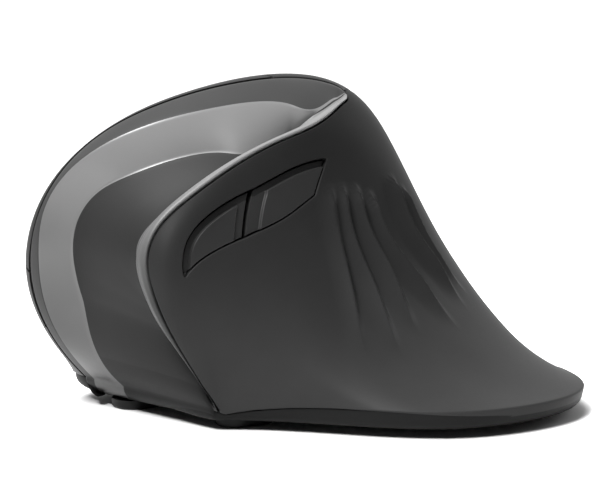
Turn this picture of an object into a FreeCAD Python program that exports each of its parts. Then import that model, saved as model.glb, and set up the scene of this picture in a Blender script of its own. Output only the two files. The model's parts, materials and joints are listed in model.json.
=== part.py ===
import FreeCAD, Part
import os
from math import pi

# Right-handed upright ("vertical") cordless computer mouse.  Millimetres.
# +Z is up, +Y runs from the palm to the front, +X is the finger side, -X the thumb side.
# The origin is under the middle of the body's box, on the desk that the feet stand on.

# ---------------------------------------------------------------- driving dimensions
CENTRE_X = 1.5          # moves the hull lines so that the origin is under the box's middle
CENTRE_Y = 3.75
WALL = 2.0              # thickness of the outer shells
SEAM = 0.15             # half of the gap between neighbouring shells
NOSE_SEAM = 0.6         # the same at the nose, where a clicking button sweeps sideways
RIM_SEAM = 1.0             # the same where the upper button's lower corner meets the rim
KEY_END_GAP = 0.3          # gap at the ends of the thumb keys
KEY_TIP_GAP = 0.8          # the same at the forward key's slanting tip
CLICK_SEAM = 0.3        # the same between the two finger buttons at the nose
DISH_DEPTH = 5.0        # depth of the hollow in the front trim

BASE_BOTTOM = 2.0       # underside of the base plate; the feet fill the rest
BASE_TOP = 3.8          # top of the base plate's floor
CURB_TOP = 5.8          # top of the wall round the base plate, and of its screw pads
CURB_WALL = 2.4
BASE_INSET = 0.3        # the base plate's edge, inside the shells' edge
BASE_BEVEL = 1.0
FOOT_BEVEL = 0.5

WHEEL_RADIUS = 9.0
WHEEL_WIDTH = 6.4
WHEEL_PROUD = 2.6       # how far the wheel stands out of the finger side
WHEEL_DEPTH = WHEEL_RADIUS - WHEEL_PROUD
HUB_RADIUS = 7.0
AXLE_RADIUS = 1.2
AXLE_CLEARANCE = 0.06
WHEEL_PRESS = 0.5       # travel of the wheel's middle click

BOARD = 1.6             # circuit board thickness
SIDE_BOARD_DEPTH = 19.0     # from the finger side in to the side board
THUMB_BOARD_DEPTH = 9.4     # from the thumb side in to the thumb board
FRAME_DEPTH = 22.4          # from the finger side in to the inner frame's plate
MAIN_BOARD_Z = 8.0
TACT_HEIGHT = 3.5           # small push switches
TACT_SIDE = 6.0
TACT_SLACK = 0.2            # left between a stem and its switch at full travel
THUMB_TRAVEL = 0.5
DPI_TRAVEL = 0.5
MICRO_HEIGHT = 6.5          # snap-action switches under the finger buttons
MICRO_LENGTH = 12.8
MICRO_WIDTH = 5.8
PLUNGER_RADIUS = 1.0
PLUNGER_PROUD = 0.8
PLUNGER_TRAVEL = 0.55
POST_GAP = 0.05

BATTERY_RADIUS = 7.25       # one AA cell
BATTERY_LENGTH = 49.2
BATTERY_NUB = 1.0
BATTERY_X = 22.5
BATTERY_Z = 12.0
BATTERY_REAR = -34.0
DOOR_THICKNESS = 1.0
DOOR_LENGTH = 56.4
DOOR_TRAVEL = 4.0
DOOR_GAP = 0.2

SENSOR_X = 0.0
SENSOR_Y = 4.0
POWER_X = -7.0
POWER_Y = -16.0
POWER_TRAVEL = 3.0

V = FreeCAD.Vector
UP = V(0, 0, 1)
DEGREE = 3

# ---------------------------------------------------------------- the body's outer form
# Eleven lines run from the tail, over the body, to the foot of the nose.  They are given
# in order from the thumb side's lip, up and over the ridge, to the finger side's lip.
HULL_LINES = [
    # lip of the thumb rest
    [(-22, -55, 6), (-34, -51, 6), (-45, -42, 6), (-50.5, -25, 6), (-49, -6, 6),
     (-40, 5, 6), (-29, 13, 6), (-20, 19, 5.5), (-13.5, 24.5, 4.5), (-10.5, 28, 3.6)],
    # skirt
    [(-17, -56, 6), (-27, -51, 7), (-36, -38, 8), (-39, -22, 8), (-38, -4, 8.5),
     (-32, 8, 9), (-25, 16, 10), (-17.5, 22, 10), (-12.5, 27, 8.5), (-10, 28.6, 3.8)],
    # hollow for the thumb
    [(-11, -56, 6), (-17, -50, 11), (-22, -36, 14), (-24, -19, 15), (-24, 0, 16),
     (-22, 13, 17), (-17.5, 22, 18), (-13.5, 28, 17), (-11.5, 30, 13), (-9.7, 29.2, 4)],
    # thumb wall
    [(-7, -57, 6), (-9, -50, 15), (-11, -36, 24), (-12.5, -19, 33), (-13, 2, 37),
     (-13, 17, 36), (-12.5, 28, 32), (-11.5, 36, 25), (-11, 34.5, 16.5), (-9.4, 29.8, 4.3)],
    # shoulder above the thumb buttons
    [(-3, -58, 6), (-3, -50.5, 17), (-4, -35.5, 32), (-7, -22, 51), (-10, -2, 58),
     (-10, 18, 54), (-10, 33, 46), (-9.5, 44, 36), (-10, 40, 22), (-9, 30.4, 4.6)],
    # near rim of the front
    [(1, -58, 6), (2, -51, 19), (3, -36, 38), (0, -23, 62), (-3, -5, 68),
     (-6, 17, 60.5), (-7, 36, 50), (-7, 47.5, 37), (-8, 43, 22), (-8.4, 31.2, 5)],
    # far rim of the front
    [(8, -58, 6), (9, -52, 19), (12, -36, 41), (9, -26, 69), (10, -6, 74.7),
     (14, 16, 72), (21, 38, 65), (28.5, 56, 44), (32, 50.5, 19), (31.5, 35, 6)],
    # edge of the finger side
    [(13, -57, 6), (15, -51, 18), (19, -37, 39), (18, -25, 65), (20, -5, 70.5),
     (23, 16, 67.5), (29, 37, 59), (34.5, 52, 41), (36.5, 47.5, 19), (34.5, 35, 6)],
    # upper finger side
    [(19, -56, 6), (22, -51, 17), (28, -38, 32), (31, -24, 49), (34, -4, 53),
     (36, 14, 51), (38, 31, 45), (40, 44, 32), (39.5, 43, 18), (37, 34.5, 6)],
    # belly of the finger side
    [(26, -53, 6), (31, -48, 12), (39, -34, 21), (43, -19, 28), (45, -3, 31),
     (45, 12, 30), (44, 26, 26), (42.5, 36, 20), (41, 38, 12.5), (38.5, 34, 6)],
    # lip of the finger side
    [(30, -51, 6), (37, -44, 6), (43, -32, 6), (46, -18, 6), (47, -4, 6),
     (46, 10, 6), (44.5, 21, 6), (43, 29, 6.3), (41.5, 33, 7), (40, 33.5, 6)],
]


def clamped_knots(count):
    """Evenly spaced knots of a cubic that starts and ends on its end poles."""
    spans = count - DEGREE
    knots = [k / spans for k in range(spans + 1)]
    repeats = [DEGREE + 1] + [1] * (spans - 1) + [DEGREE + 1]
    return knots, repeats


def make_hull():
    poles = []
    for station in zip(*HULL_LINES):
        poles.append([V(x + CENTRE_X, y + CENTRE_Y, z) for x, y, z in station])
    knots_u, repeats_u = clamped_knots(len(poles))
    knots_v, repeats_v = clamped_knots(len(poles[0]))
    surface = Part.BSplineSurface()
    surface.buildFromPolesMultsKnots(poles, repeats_u, repeats_v, knots_u, knots_v,
                                     False, False, DEGREE, DEGREE)
    return surface


HULL = make_hull()


def hull_point(u, v, height=0.0):
    """A point on the body's form, or at a height above it."""
    u = min(max(u, 0.0), 1.0)
    v = min(max(v, 0.0), 1.0)
    point = HULL.value(u, v)
    if height:
        point = point + hull_normal(u, v) * height
    return point


def hull_normal(u, v):
    along, across = HULL.tangent(u, v)
    normal = across.cross(along)
    return normal.normalize()


# ---------------------------------------------------------------- seams, as places (u, v)
def seam(points):
    """A smooth line through places on the body: returns place(s) for s from 0 to 1."""
    curve = Part.BSplineCurve()
    curve.interpolate([V(u, v, 0) for u, v in points])
    first = curve.FirstParameter
    span = curve.LastParameter - first

    def place(s):
        point = curve.value(first + span * min(max(s, 0.0), 1.0))
        return point.x, point.y
    return place


def line(start, end):
    """A straight line between two places on the body."""
    def place(s):
        return start[0] + (end[0] - start[0]) * s, start[1] + (end[1] - start[1]) * s
    return place


def joined(first, second, share):
    """Two lines run one after the other; the first takes the given share of s."""
    def place(s):
        if s < share:
            return first(s / share)
        return second((s - share) / (1 - share))
    return place


TONGUE_NEAR = (0.368, 0.538)        # the trim's upper tip is a short blunt end
TONGUE_FAR = (0.366, 0.556)
RIM_REAR = (0.473, 0.613)           # rear corner of the upper finger button
RIM_CLICKS = (0.903, 0.670)         # where the two finger buttons' seam meets the rim
RIM_LOW = (0.955, 0.680)            # lower front corner of the lower finger button
RAIL_REAR = (0.490, 0.960)          # rear end of the rail below the finger buttons

crest = seam([(0.0, 0.660), (0.150, 0.650), (0.270, 0.632), (0.330, 0.605),
              (0.356, 0.578), TONGUE_FAR])
near_rim = seam([TONGUE_NEAR, (0.378, 0.520), (0.413, 0.485), (0.463, 0.455),
                 (0.540, 0.451), (0.608, 0.455), (0.713, 0.465), (0.797, 0.478),
                 (0.853, 0.475), (0.905, 0.458), (0.932, 0.448), (0.958, 0.430),
                 (0.978, 0.390), (0.990, 0.300), (1.0, 0.200)])
far_rim_upper = [TONGUE_FAR, (0.388, 0.580), (0.432, 0.600), RIM_REAR]
far_rim_front = [RIM_REAR, (0.522, 0.625), (0.578, 0.638), (0.647, 0.650), (0.700, 0.664),
                 (0.755, 0.671), (0.807, 0.670), (0.860, 0.670)]
far_rim_foot = [RIM_LOW, (0.980, 0.690), (1.0, 0.700)]
far_rim = seam(far_rim_upper + far_rim_front[1:] + [RIM_CLICKS] + far_rim_foot)
click_seam = seam([(0.485, 0.892), (0.585, 0.892), (0.690, 0.886), (0.792, 0.861),
                   (0.865, 0.796), (0.892, 0.720), RIM_CLICKS])
rail_top = seam([RAIL_REAR, (0.608, 0.960), (0.740, 0.955), (0.863, 0.930),
                 (0.930, 0.860), (0.952, 0.770), RIM_LOW])

# lines on the front trim, between its near and far rims
strip_edge = seam([(0.3675, 0.5425), (0.382, 0.527), (0.416, 0.494), (0.466, 0.466),
                   (0.540, 0.462), (0.603, 0.468), (0.705, 0.478), (0.802, 0.492),
                   (0.858, 0.495), (0.907, 0.482), (0.935, 0.472), (0.960, 0.456),
                   (0.979, 0.420), (0.990, 0.340), (1.0, 0.250)])
floor_near = seam([(0.3672, 0.5455), (0.384, 0.533), (0.418, 0.502), (0.468, 0.475),
                   (0.540, 0.471), (0.603, 0.478), (0.705, 0.489), (0.802, 0.503),
                   (0.858, 0.506), (0.907, 0.494), (0.935, 0.485), (0.960, 0.470),
                   (0.979, 0.437), (0.990, 0.365), (1.0, 0.280)])
floor_far = seam([(0.3668, 0.5485), (0.386, 0.541), (0.420, 0.512), (0.470, 0.484),
                  (0.535, 0.480), (0.578, 0.492), (0.602, 0.513), (0.652, 0.535),
                  (0.743, 0.565), (0.782, 0.580), (0.840, 0.590), (0.912, 0.588),
                  (0.960, 0.592), (1.0, 0.590)])
dish_edge = seam([(0.3664, 0.5525), (0.392, 0.556), (0.430, 0.540), (0.468, 0.526),
                  (0.515, 0.557), (0.593, 0.583), (0.698, 0.615), (0.748, 0.635),
                  (0.787, 0.649), (0.830, 0.653), (0.883, 0.640), (0.917, 0.640),
                  (0.960, 0.648), (1.0, 0.655)])


# ---------------------------------------------------------------- solids from patches
def between(near, far, s, t):
    a = near(s)
    b = far(s)
    return a[0] + (b[0] - a[0]) * t, a[1] + (b[1] - a[1]) * t


def travelled(near, far, s, t, ds, dt):
    """Millimetres on the body per unit step of s or of t."""
    here = hull_point(*between(near, far, s, t))
    there = hull_point(*between(near, far, s + ds, t + dt))
    return max((there - here).Length / abs(ds + dt), 1.0)


def patch_grid(near, far, height, margins, s_range, rows, cols):
    """Points on the body between two lines, drawn in from the four edges by margins.

    margins are the gaps in mm at the rear, the front, the near and the far edge.
    The gap at a near or far edge is (at the rear, at the front) and grows between.
    """
    step = 0.01
    rear, front, near_gap, far_gap = margins
    grid = []
    for i in range(rows + 1):
        part = s_range[0] + (s_range[1] - s_range[0]) * i / rows
        row = []
        for j in range(cols + 1):
            t = j / cols
            s_low = rear / travelled(near, far, 0.0, t, step, 0)
            s_high = 1 - front / travelled(near, far, 1.0, t, -step, 0)
            s = s_low + (s_high - s_low) * part
            gap_near = near_gap[0] + (near_gap[1] - near_gap[0]) * part
            gap_far = far_gap[0] + (far_gap[1] - far_gap[0]) * part
            t_low = gap_near / travelled(near, far, s, 0.0, 0, step)
            t_high = 1 - gap_far / travelled(near, far, s, 1.0, 0, -step)
            t = t_low + (t_high - t_low) * t
            row.append(hull_point(*between(near, far, s, t), height(s, t)))
        grid.append(row)
    return grid


def through(points):
    """A cubic curve through points at evenly spaced parameters."""
    last = len(points) - 1
    curve = Part.BSplineCurve()
    curve.interpolate(Points=points, Parameters=[k / last for k in range(last + 1)])
    return curve


def skin(grid):
    """A bicubic surface through a grid of points."""
    rows = [through(row) for row in grid]
    row_poles = [row.getPoles() for row in rows]
    columns = [through([poles[k] for poles in row_poles]) for k in range(len(row_poles[0]))]
    poles = [list(line_of_poles) for line_of_poles in zip(*[c.getPoles() for c in columns])]
    surface = Part.BSplineSurface()
    surface.buildFromPolesMultsKnots(poles, columns[0].getMultiplicities(),
                                     rows[0].getMultiplicities(), columns[0].getKnots(),
                                     rows[0].getKnots(), False, False, DEGREE, DEGREE)
    return surface


def ruled(curve_a, curve_b):
    return Part.makeRuledSurface(curve_a.toShape(), curve_b.toShape())


def closed_solid(outer, inner):
    """A solid between blocks of outer and inner grids, given as [row of blocks][block]."""
    outer = [[skin(grid) for grid in blocks] for blocks in outer]
    inner = [[skin(grid) for grid in blocks] for blocks in inner]
    faces = [surface.toShape() for blocks in outer + inner for surface in blocks]
    for blocks, side in ((0, 0), (-1, 1)):
        for top, under in zip(outer[blocks], inner[blocks]):
            faces.append(ruled(top.uIso(side), under.uIso(side)))
    for tops, unders in zip(outer, inner):
        for block, side in ((0, 0), (-1, 1)):
            faces.append(ruled(tops[block].vIso(side), unders[block].vIso(side)))
    shell = Part.makeShell(faces)
    shell.sewShape()
    solid = Part.makeSolid(shell)
    if solid.Volume < 0:
        solid.reverse()
    return solid


NO_GAP = (0, 0)
EVEN = (SEAM, SEAM)


def panel(near, far, low, high, margins, breaks=(0, 1), rows=32, cols=14):
    """A sheet that follows the body between two lines, from one height to another.

    breaks are the places s where the lines turn a corner.
    """
    outer = []
    inner = []
    for start, end in zip(breaks, breaks[1:]):
        count = max(4, round(rows * (end - start)))
        span = (start, end)
        outer.append([patch_grid(near, far, lambda s, t: high, margins, span, count, cols)])
        inner.append([patch_grid(near, far, lambda s, t: low, margins, span, count, cols)])
    return closed_solid(outer, inner)


def placed(shape, frame):
    moved = shape.copy()
    moved.Placement = frame.multiply(moved.Placement)
    return moved


def box_at(frame, x, y, z):
    """A box in a frame's own axes, from (low, high) pairs."""
    box = Part.makeBox(x[1] - x[0], y[1] - y[0], z[1] - z[0], V(x[0], y[0], z[0]))
    return placed(box, frame)


def rod_at(frame, radius, start, axis, length):
    return placed(Part.makeCylinder(radius, length, V(*start), V(*axis)), frame)


def frame_along(place, ahead):
    """A frame on the body: Z straight out, X along the body towards another place."""
    origin = hull_point(*place)
    z_axis = hull_normal(*place)
    y_axis = z_axis.cross(hull_point(*ahead) - origin)
    y_axis.normalize()
    x_axis = y_axis.cross(z_axis)
    return FreeCAD.Placement(origin, FreeCAD.Rotation(x_axis, y_axis, z_axis, "ZXY"))


# ---------------------------------------------------------------- places of the controls
WHEEL_PLACE = (0.735, 0.879)
DECK = frame_along(WHEEL_PLACE, (0.792, 0.861))         # the finger side, round the wheel
THUMB = frame_along((0.630, 0.340), (0.720, 0.345))     # the thumb side, at its buttons
UPPER_POST = (0.680, 0.830)
LOWER_POST = (0.680, 0.933)
FORWARD_STEM = (0.690, 0.342)
BACK_STEM = (0.545, 0.338)
DPI_PLACE = (0.552, 0.892)
THUMB_BOSS = (0.170, 0.500)
PALM_BOSS = (0.320, 0.890)
FRAME_SCREWS = [(19.0, 22.5), (28.0, 22.5)]
BOARD_POSTS = [(-9.0, 20.0), (8.0, 20.0), (-9.0, -21.0), (8.0, -21.0)]
DECK_STANDOFFS = [(-23.0, 12.0), (-23.0, -12.0), (1.5, 10.5), (3.0, -12.0)]
THUMB_STANDOFFS = [(-17.0, 12.0), (5.0, 10.0)]
FEET = {
    "front_foot_near": (-4.0, 23.5, 8.0, 13.0),
    "front_foot_far": (25.5, 31.0, 9.0, 11.0),
    "rear_foot_near": (-34.0, -26.0, 9.0, 14.0),
    "rear_foot_far": (36.0, -27.0, 6.0, 14.0),
}


def in_frame(frame, place, height=0.0):
    """A place on the body in a frame's own axes."""
    return frame.inverse().multVec(hull_point(place[0], place[1], height))


# ---------------------------------------------------------------- outer shells
THUMB_BREAKS = (0, 0.36, 0.40, 1)
thumb_top = joined(joined(crest, line(TONGUE_FAR, TONGUE_NEAR), 0.9), near_rim, 0.4)
palm_top = joined(crest, seam(far_rim_upper), 0.75)
PALM_BREAKS = (0, 0.75, 1)
rail_near = joined(rail_top, seam(far_rim_foot), 0.8)
rail_far = joined(line((0.49, 1), (0.93, 1)), line((0.93, 1), (1, 1)), 0.8)
RAIL_BREAKS = (0, 0.8, 1)


def thumb_panel(low, high):
    return panel(line((0, 0), (1, 0)), thumb_top, low, high, (0, 0, NO_GAP, EVEN),
                 THUMB_BREAKS, 60, 26)


def palm_panel(low, high):
    return panel(palm_top, line((0, 1), (0.49, 1)), low, high, (0, SEAM, EVEN, NO_GAP),
                 PALM_BREAKS, 40, 20)


def rail_panel(low, high):
    return panel(rail_near, rail_far, low, high, (SEAM, 0, (SEAM, CLICK_SEAM), NO_GAP),
                 RAIL_BREAKS, 40, 8)


def eased(share):
    """A smooth rise from 0 to 1."""
    share = min(max(share, 0), 1)
    return share * share * (3 - 2 * share)


def dish_depth(s):
    """Depth of the trim's hollow: none at the tongue's tip and at the foot, full between."""
    return DISH_DEPTH * eased((s - 0.04) / 0.14) * eased((0.99 - s) / 0.09)


TRIM_LINES = [near_rim, strip_edge, floor_near, floor_far, dish_edge, far_rim]
TRIM_DEPTHS = [0, 0, 1, 1, 0, 0]                # share of the hollow's depth on each line
TRIM_BACK_DEPTHS = [0, 0.6, 1, 1, 0.5, 0]
TRIM_COLUMNS = [3, 3, 6, 6, 4]


def trim_blocks(shares, lower):
    blocks = []
    for k, cols in enumerate(TRIM_COLUMNS):
        first = k == 0
        last = k == len(TRIM_COLUMNS) - 1
        margins = (SEAM, 0, EVEN if first else NO_GAP, EVEN if last else NO_GAP)

        def height(s, t, k=k):
            share = shares[k] + (shares[k + 1] - shares[k]) * t
            return -share * dish_depth(s) - lower
        blocks.append(patch_grid(TRIM_LINES[k], TRIM_LINES[k + 1], height, margins,
                                 (0, 1), 50, cols))
    return [blocks]


def front_trim():
    return closed_solid(trim_blocks(TRIM_DEPTHS, 0), trim_blocks(TRIM_BACK_DEPTHS, WALL))


def shell_boss(place):
    """A screw post that stands on the base's pad and ends inside the shell's wall."""
    top = hull_point(*place)
    post = Part.makeCylinder(3.0, top.z, V(top.x, top.y, CURB_TOP))
    u, v = place
    above = panel(line((u - 0.09, v - 0.09), (u + 0.09, v - 0.09)),
                  line((u - 0.09, v + 0.09), (u + 0.09, v + 0.09)),
                  -WALL / 2, 2 * WALL, (0, 0, NO_GAP, NO_GAP), (0, 1), 8, 8)
    high = Part.makeCylinder(4.0, 40, V(top.x, top.y, top.z + WALL))
    post = post.cut(above).cut(high)
    post = min(post.Solids, key=lambda solid: solid.BoundBox.ZMin)
    return post.cut(Part.makeCylinder(1.0, 8, V(top.x, top.y, CURB_TOP)))


def back_lines():
    low = seam([(0.478, 0.326), (0.535, 0.308), (0.603, 0.303), (0.642, 0.305)])
    high = seam([(0.447, 0.376), (0.505, 0.365), (0.568, 0.356), (0.600, 0.358)])
    return low, high


def forward_lines():
    low = seam([(0.652, 0.306), (0.740, 0.321), (0.826, 0.339)])
    high = seam([(0.612, 0.362), (0.690, 0.378), (0.733, 0.384), (0.775, 0.375),
                 (0.812, 0.352)])
    return low, high


def around(gap):
    """Margins that make a patch larger than its lines by a gap on every side."""
    return (-gap, -gap, (-gap, -gap), (-gap, -gap))


def button_opening(lines, rear=0.3, front=0.5):
    margins = (-rear, -front, (-0.3, -0.6), (-0.3, -0.6))
    return panel(lines[0], lines[1], -2 * WALL, WALL, margins, (0, 1), 12, 6)


def thumb_shell():
    shell = thumb_panel(-WALL, 0)
    shell = shell.fuse(shell_boss(THUMB_BOSS))
    for x, y in THUMB_STANDOFFS:
        post = rod_at(THUMB, 2.0, (x, y, -THUMB_BOARD_DEPTH), (0, 0, 1), THUMB_BOARD_DEPTH - 1.5)
        bore = rod_at(THUMB, 0.8, (x, y, -THUMB_BOARD_DEPTH), (0, 0, 1), 5)
        shell = shell.fuse(post).cut(bore)
    shell = shell.cut(button_opening(back_lines(), front=0.6))
    return shell.cut(button_opening(forward_lines(), rear=0.6))


def palm_shell():
    return palm_panel(-WALL, 0).fuse(shell_boss(PALM_BOSS))


def deck_slots():
    """Openings through both finger buttons, for the wheel and the speed button."""
    wheel = box_at(DECK, (-8.8, 8.8), (-4.3, 4.3), (-6, 6))
    speed = panel(*dpi_lines(), -2 * WALL, WALL, around(0.25), (0, 1), 6, 4)
    return [wheel, speed]


def click_post(place):
    """The post inside a finger button that presses its switch."""
    local = in_frame(DECK, place, -WALL / 2)
    low = -SIDE_BOARD_DEPTH + MICRO_HEIGHT + PLUNGER_PROUD + POST_GAP
    return rod_at(DECK, 1.6, (local.x, local.y, low), (0, 0, 1), local.z - low)


def upper_button():
    shape = panel(seam(far_rim_front), click_seam, -WALL, 0,
                  (SEAM, NOSE_SEAM, (NOSE_SEAM, RIM_SEAM), (SEAM, CLICK_SEAM)))
    shape = shape.fuse(click_post(UPPER_POST))
    for slot in deck_slots():
        shape = shape.cut(slot)
    return shape


def lower_button():
    shape = panel(click_seam, rail_top, -WALL, 0,
                  (SEAM, NOSE_SEAM, (SEAM, CLICK_SEAM), (SEAM, CLICK_SEAM)))
    shape = shape.fuse(click_post(LOWER_POST))
    for slot in deck_slots():
        shape = shape.cut(slot)
    return shape


# ---------------------------------------------------------------- small buttons
def thumb_button(lines, stem_place, front_gap, flange_margins):
    cap = panel(lines[0], lines[1], -1.5 * WALL, 0, (KEY_END_GAP, front_gap, NO_GAP, NO_GAP),
                (0, 1), 12, 6)
    flange = panel(lines[0], lines[1], -1.7 * WALL, -1.25 * WALL,
                   flange_margins, (0, 1), 12, 6)
    local = in_frame(THUMB, stem_place, -WALL)
    low = -THUMB_BOARD_DEPTH + TACT_HEIGHT + THUMB_TRAVEL + TACT_SLACK
    stem = rod_at(THUMB, 1.5, (local.x, local.y, low), (0, 0, 1), local.z - low)
    return cap.fuse(flange).fuse(stem)


def forward_button():
    return thumb_button(forward_lines(), FORWARD_STEM, KEY_TIP_GAP,
                        (0.15, 1.6, (-0.8, 0), (-0.8, 0)))


def back_button():
    return thumb_button(back_lines(), BACK_STEM, KEY_END_GAP,
                        (-0.9, 0.1, (-0.9, -0.9), (-0.9, -0.9)))


def dpi_lines():
    return (line((0.527, 0.8835), (0.577, 0.8825)), line((0.527, 0.9025), (0.577, 0.9015)))


def dpi_button():
    cap = panel(*dpi_lines(), -1.5 * WALL, 0.4, (0, 0, NO_GAP, NO_GAP), (0, 1), 6, 4)
    local = in_frame(DECK, DPI_PLACE, -WALL)
    low = -SIDE_BOARD_DEPTH + TACT_HEIGHT + DPI_TRAVEL + TACT_SLACK
    return cap.fuse(rod_at(DECK, 1.4, (local.x, local.y, low), (0, 0, 1), local.z - low))


def tact_switch(frame, x, y, board_depth):
    """A low push switch standing on a board: square body, short round actuator."""
    half = TACT_SIDE / 2
    body = box_at(frame, (x - half, x + half), (y - half, y + half),
                  (-board_depth, -board_depth + TACT_HEIGHT - 0.6))
    return body.fuse(rod_at(frame, 1.6, (x, y, -board_depth + 1), (0, 0, 1), TACT_HEIGHT - 1))


def tact_at(frame, place, board_depth):
    local = in_frame(frame, place)
    return tact_switch(frame, local.x, local.y, board_depth)


# ---------------------------------------------------------------- wheel
def wheel_hub():
    centre = (0, -WHEEL_WIDTH / 2, -WHEEL_DEPTH)
    hub = rod_at(DECK, HUB_RADIUS, centre, (0, 1, 0), WHEEL_WIDTH)
    for side in (-1, 1):
        start = (0, side * WHEEL_WIDTH / 2, -WHEEL_DEPTH)
        dish = rod_at(DECK, HUB_RADIUS - 0.9, start, (0, -side, 0), 2.2)
        boss = rod_at(DECK, 2.6, start, (0, -side, 0), 2.2)
        hub = hub.cut(dish.cut(boss))
    for k in range(12):
        spin = FreeCAD.Rotation(V(0, 1, 0), k * 30)
        out = spin.multVec(V(4.4, 0, 0))
        window = rod_at(DECK, 0.8, (out.x, -WHEEL_WIDTH, out.z - WHEEL_DEPTH), (0, 1, 0),
                        2 * WHEEL_WIDTH)
        hub = hub.cut(window)
    return hub.cut(rod_at(DECK, AXLE_RADIUS + 0.01, (0, -8, -WHEEL_DEPTH), (0, 1, 0), 16))


def wheel_tyre():
    half = WHEEL_WIDTH / 2 - 0.1
    ring = Part.makeCylinder(WHEEL_RADIUS, 2 * half, V(0, -half, 0), V(0, 1, 0))
    rims = [edge for edge in ring.Edges if edge.Closed and edge.Length > 2 * pi * 8]
    ring = ring.makeFillet(1.2, rims)
    ring = ring.cut(Part.makeCylinder(HUB_RADIUS + 0.02, 8, V(0, -4, 0), V(0, 1, 0)))
    for k in range(30):
        groove = Part.makeBox(0.7, 8, 1, V(-0.35, -4, WHEEL_RADIUS - 0.35))
        groove.rotate(V(0, 0, 0), V(0, 1, 0), k * 12)
        ring = ring.cut(groove)
    ring.translate(V(0, 0, -WHEEL_DEPTH))
    return placed(ring, DECK)


def wheel_axle():
    return rod_at(DECK, AXLE_RADIUS, (0, -6.0, -WHEEL_DEPTH), (0, 1, 0), 12.0)


def wheel_carrier():
    """A cradle that holds the axle, and an arm over the middle-click switch."""
    back = -SIDE_BOARD_DEPTH + 1.1
    shape = box_at(DECK, (-3, 3), (-5.8, 5.8), (back, back + 1.4))
    bore = rod_at(DECK, AXLE_RADIUS + AXLE_CLEARANCE, (0, -8, -WHEEL_DEPTH), (0, 1, 0), 16)
    for y in (-5.8, 4.4):
        shape = shape.fuse(box_at(DECK, (-3, 3), (y, y + 1.4), (back, -WHEEL_DEPTH + 2.4)))
    arm_low = -SIDE_BOARD_DEPTH + TACT_HEIGHT + WHEEL_PRESS + TACT_SLACK
    arm = box_at(DECK, (-12, -2), (-5.8, -4.4), (arm_low, arm_low + 1.6))
    bridge = box_at(DECK, (-12, -9.4), (-5.8, 1.6), (arm_low, arm_low + 1.0))
    return shape.fuse(arm).fuse(bridge).cut(bore)


def wheel_guides():
    """Two posts on the side board between which the cradle slides."""
    shape = None
    for y in (-7.1, 6.1):
        post = box_at(DECK, (-3.4, 3.4), (y, y + 1.0), (-SIDE_BOARD_DEPTH, -8))
        shape = post if shape is None else shape.fuse(post)
    foot = box_at(DECK, (3.6, 4.6), (-7.1, 7.1), (-SIDE_BOARD_DEPTH, -SIDE_BOARD_DEPTH + 1.2))
    for y in (-7.1, 6.1):
        foot = foot.fuse(box_at(DECK, (3.2, 4.6), (y, y + 1.0),
                                (-SIDE_BOARD_DEPTH, -SIDE_BOARD_DEPTH + 1.2)))
    return shape.fuse(foot)


def encoder_half(side):
    """One half of the light gate that counts the hub's windows."""
    low, high = sorted((side * 3.7, side * 5.9))
    body = box_at(DECK, (5.0, 8.4), (low, high), (-SIDE_BOARD_DEPTH, -WHEEL_DEPTH + 2))
    lens = rod_at(DECK, 0.8, (6.7, side * 4.5, -WHEEL_DEPTH), (0, -side, 0), 1.1)
    return body.fuse(lens)


# ---------------------------------------------------------------- switches and boards
def micro_body(place):
    local = in_frame(DECK, place)
    top = -SIDE_BOARD_DEPTH + MICRO_HEIGHT
    body = box_at(DECK, (local.x - 8.0, local.x - 8.0 + MICRO_LENGTH),
                  (local.y - MICRO_WIDTH / 2, local.y + MICRO_WIDTH / 2),
                  (-SIDE_BOARD_DEPTH, top))
    bore = rod_at(DECK, PLUNGER_RADIUS + 0.1, (local.x, local.y, top - 2), (0, 0, 1), 3)
    return body.cut(bore)


def micro_plunger(place):
    local = in_frame(DECK, place)
    top = -SIDE_BOARD_DEPTH + MICRO_HEIGHT
    low = top - 2 + PLUNGER_TRAVEL + 0.2
    return rod_at(DECK, PLUNGER_RADIUS, (local.x, local.y, low), (0, 0, 1),
                  top + PLUNGER_PROUD - low)


def side_board():
    board = box_at(DECK, (-26, 9), (-15, 13.5), (-SIDE_BOARD_DEPTH - BOARD, -SIDE_BOARD_DEPTH))
    corner = box_at(DECK, (4, 20), (6.4, 20), (-SIDE_BOARD_DEPTH - 3, -SIDE_BOARD_DEPTH + 1))
    board = board.cut(corner)
    for x, y in DECK_STANDOFFS:
        board = board.cut(rod_at(DECK, 1.3, (x, y, -SIDE_BOARD_DEPTH - 3), (0, 0, 1), 6))
    return board


def thumb_board():
    board = box_at(THUMB, (-20, 8), (-3, 14),
                   (-THUMB_BOARD_DEPTH - BOARD, -THUMB_BOARD_DEPTH))
    for x, y in THUMB_STANDOFFS:
        board = board.cut(rod_at(THUMB, 1.1, (x, y, -THUMB_BOARD_DEPTH - 3), (0, 0, 1), 6))
    return board


def main_board():
    board = Part.makeBox(23, 48, BOARD, V(-12, -24, MAIN_BOARD_Z))
    for x, y in BOARD_POSTS:
        board = board.cut(Part.makeCylinder(1.2, 6, V(x, y, MAIN_BOARD_Z - 2)))
    return board.cut(Part.makeCylinder(3.0, 6, V(SENSOR_X, SENSOR_Y, MAIN_BOARD_Z - 2)))


def screw_set(frame, places, head_z, shank, head_radius, shank_radius):
    """Pan-head screws; each head stands on head_z and its shank goes along -Z."""
    screws = []
    for x, y in places:
        head = rod_at(frame, head_radius, (x, y, head_z), (0, 0, 1), 1.1)
        screw = head.fuse(rod_at(frame, shank_radius, (x, y, head_z - shank), (0, 0, 1), shank))
        for turn in (0, 90):
            slot = Part.makeBox(2 * head_radius - 1.2, 0.5, 1.0,
                                V(0.6 - head_radius, -0.25, 0.6))
            slot.rotate(V(0, 0, 0), V(0, 0, 1), turn)
            slot.translate(V(x, y, head_z))
            screw = screw.cut(placed(slot, frame))
        screws.append(screw)
    return Part.makeCompound(screws)


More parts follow.
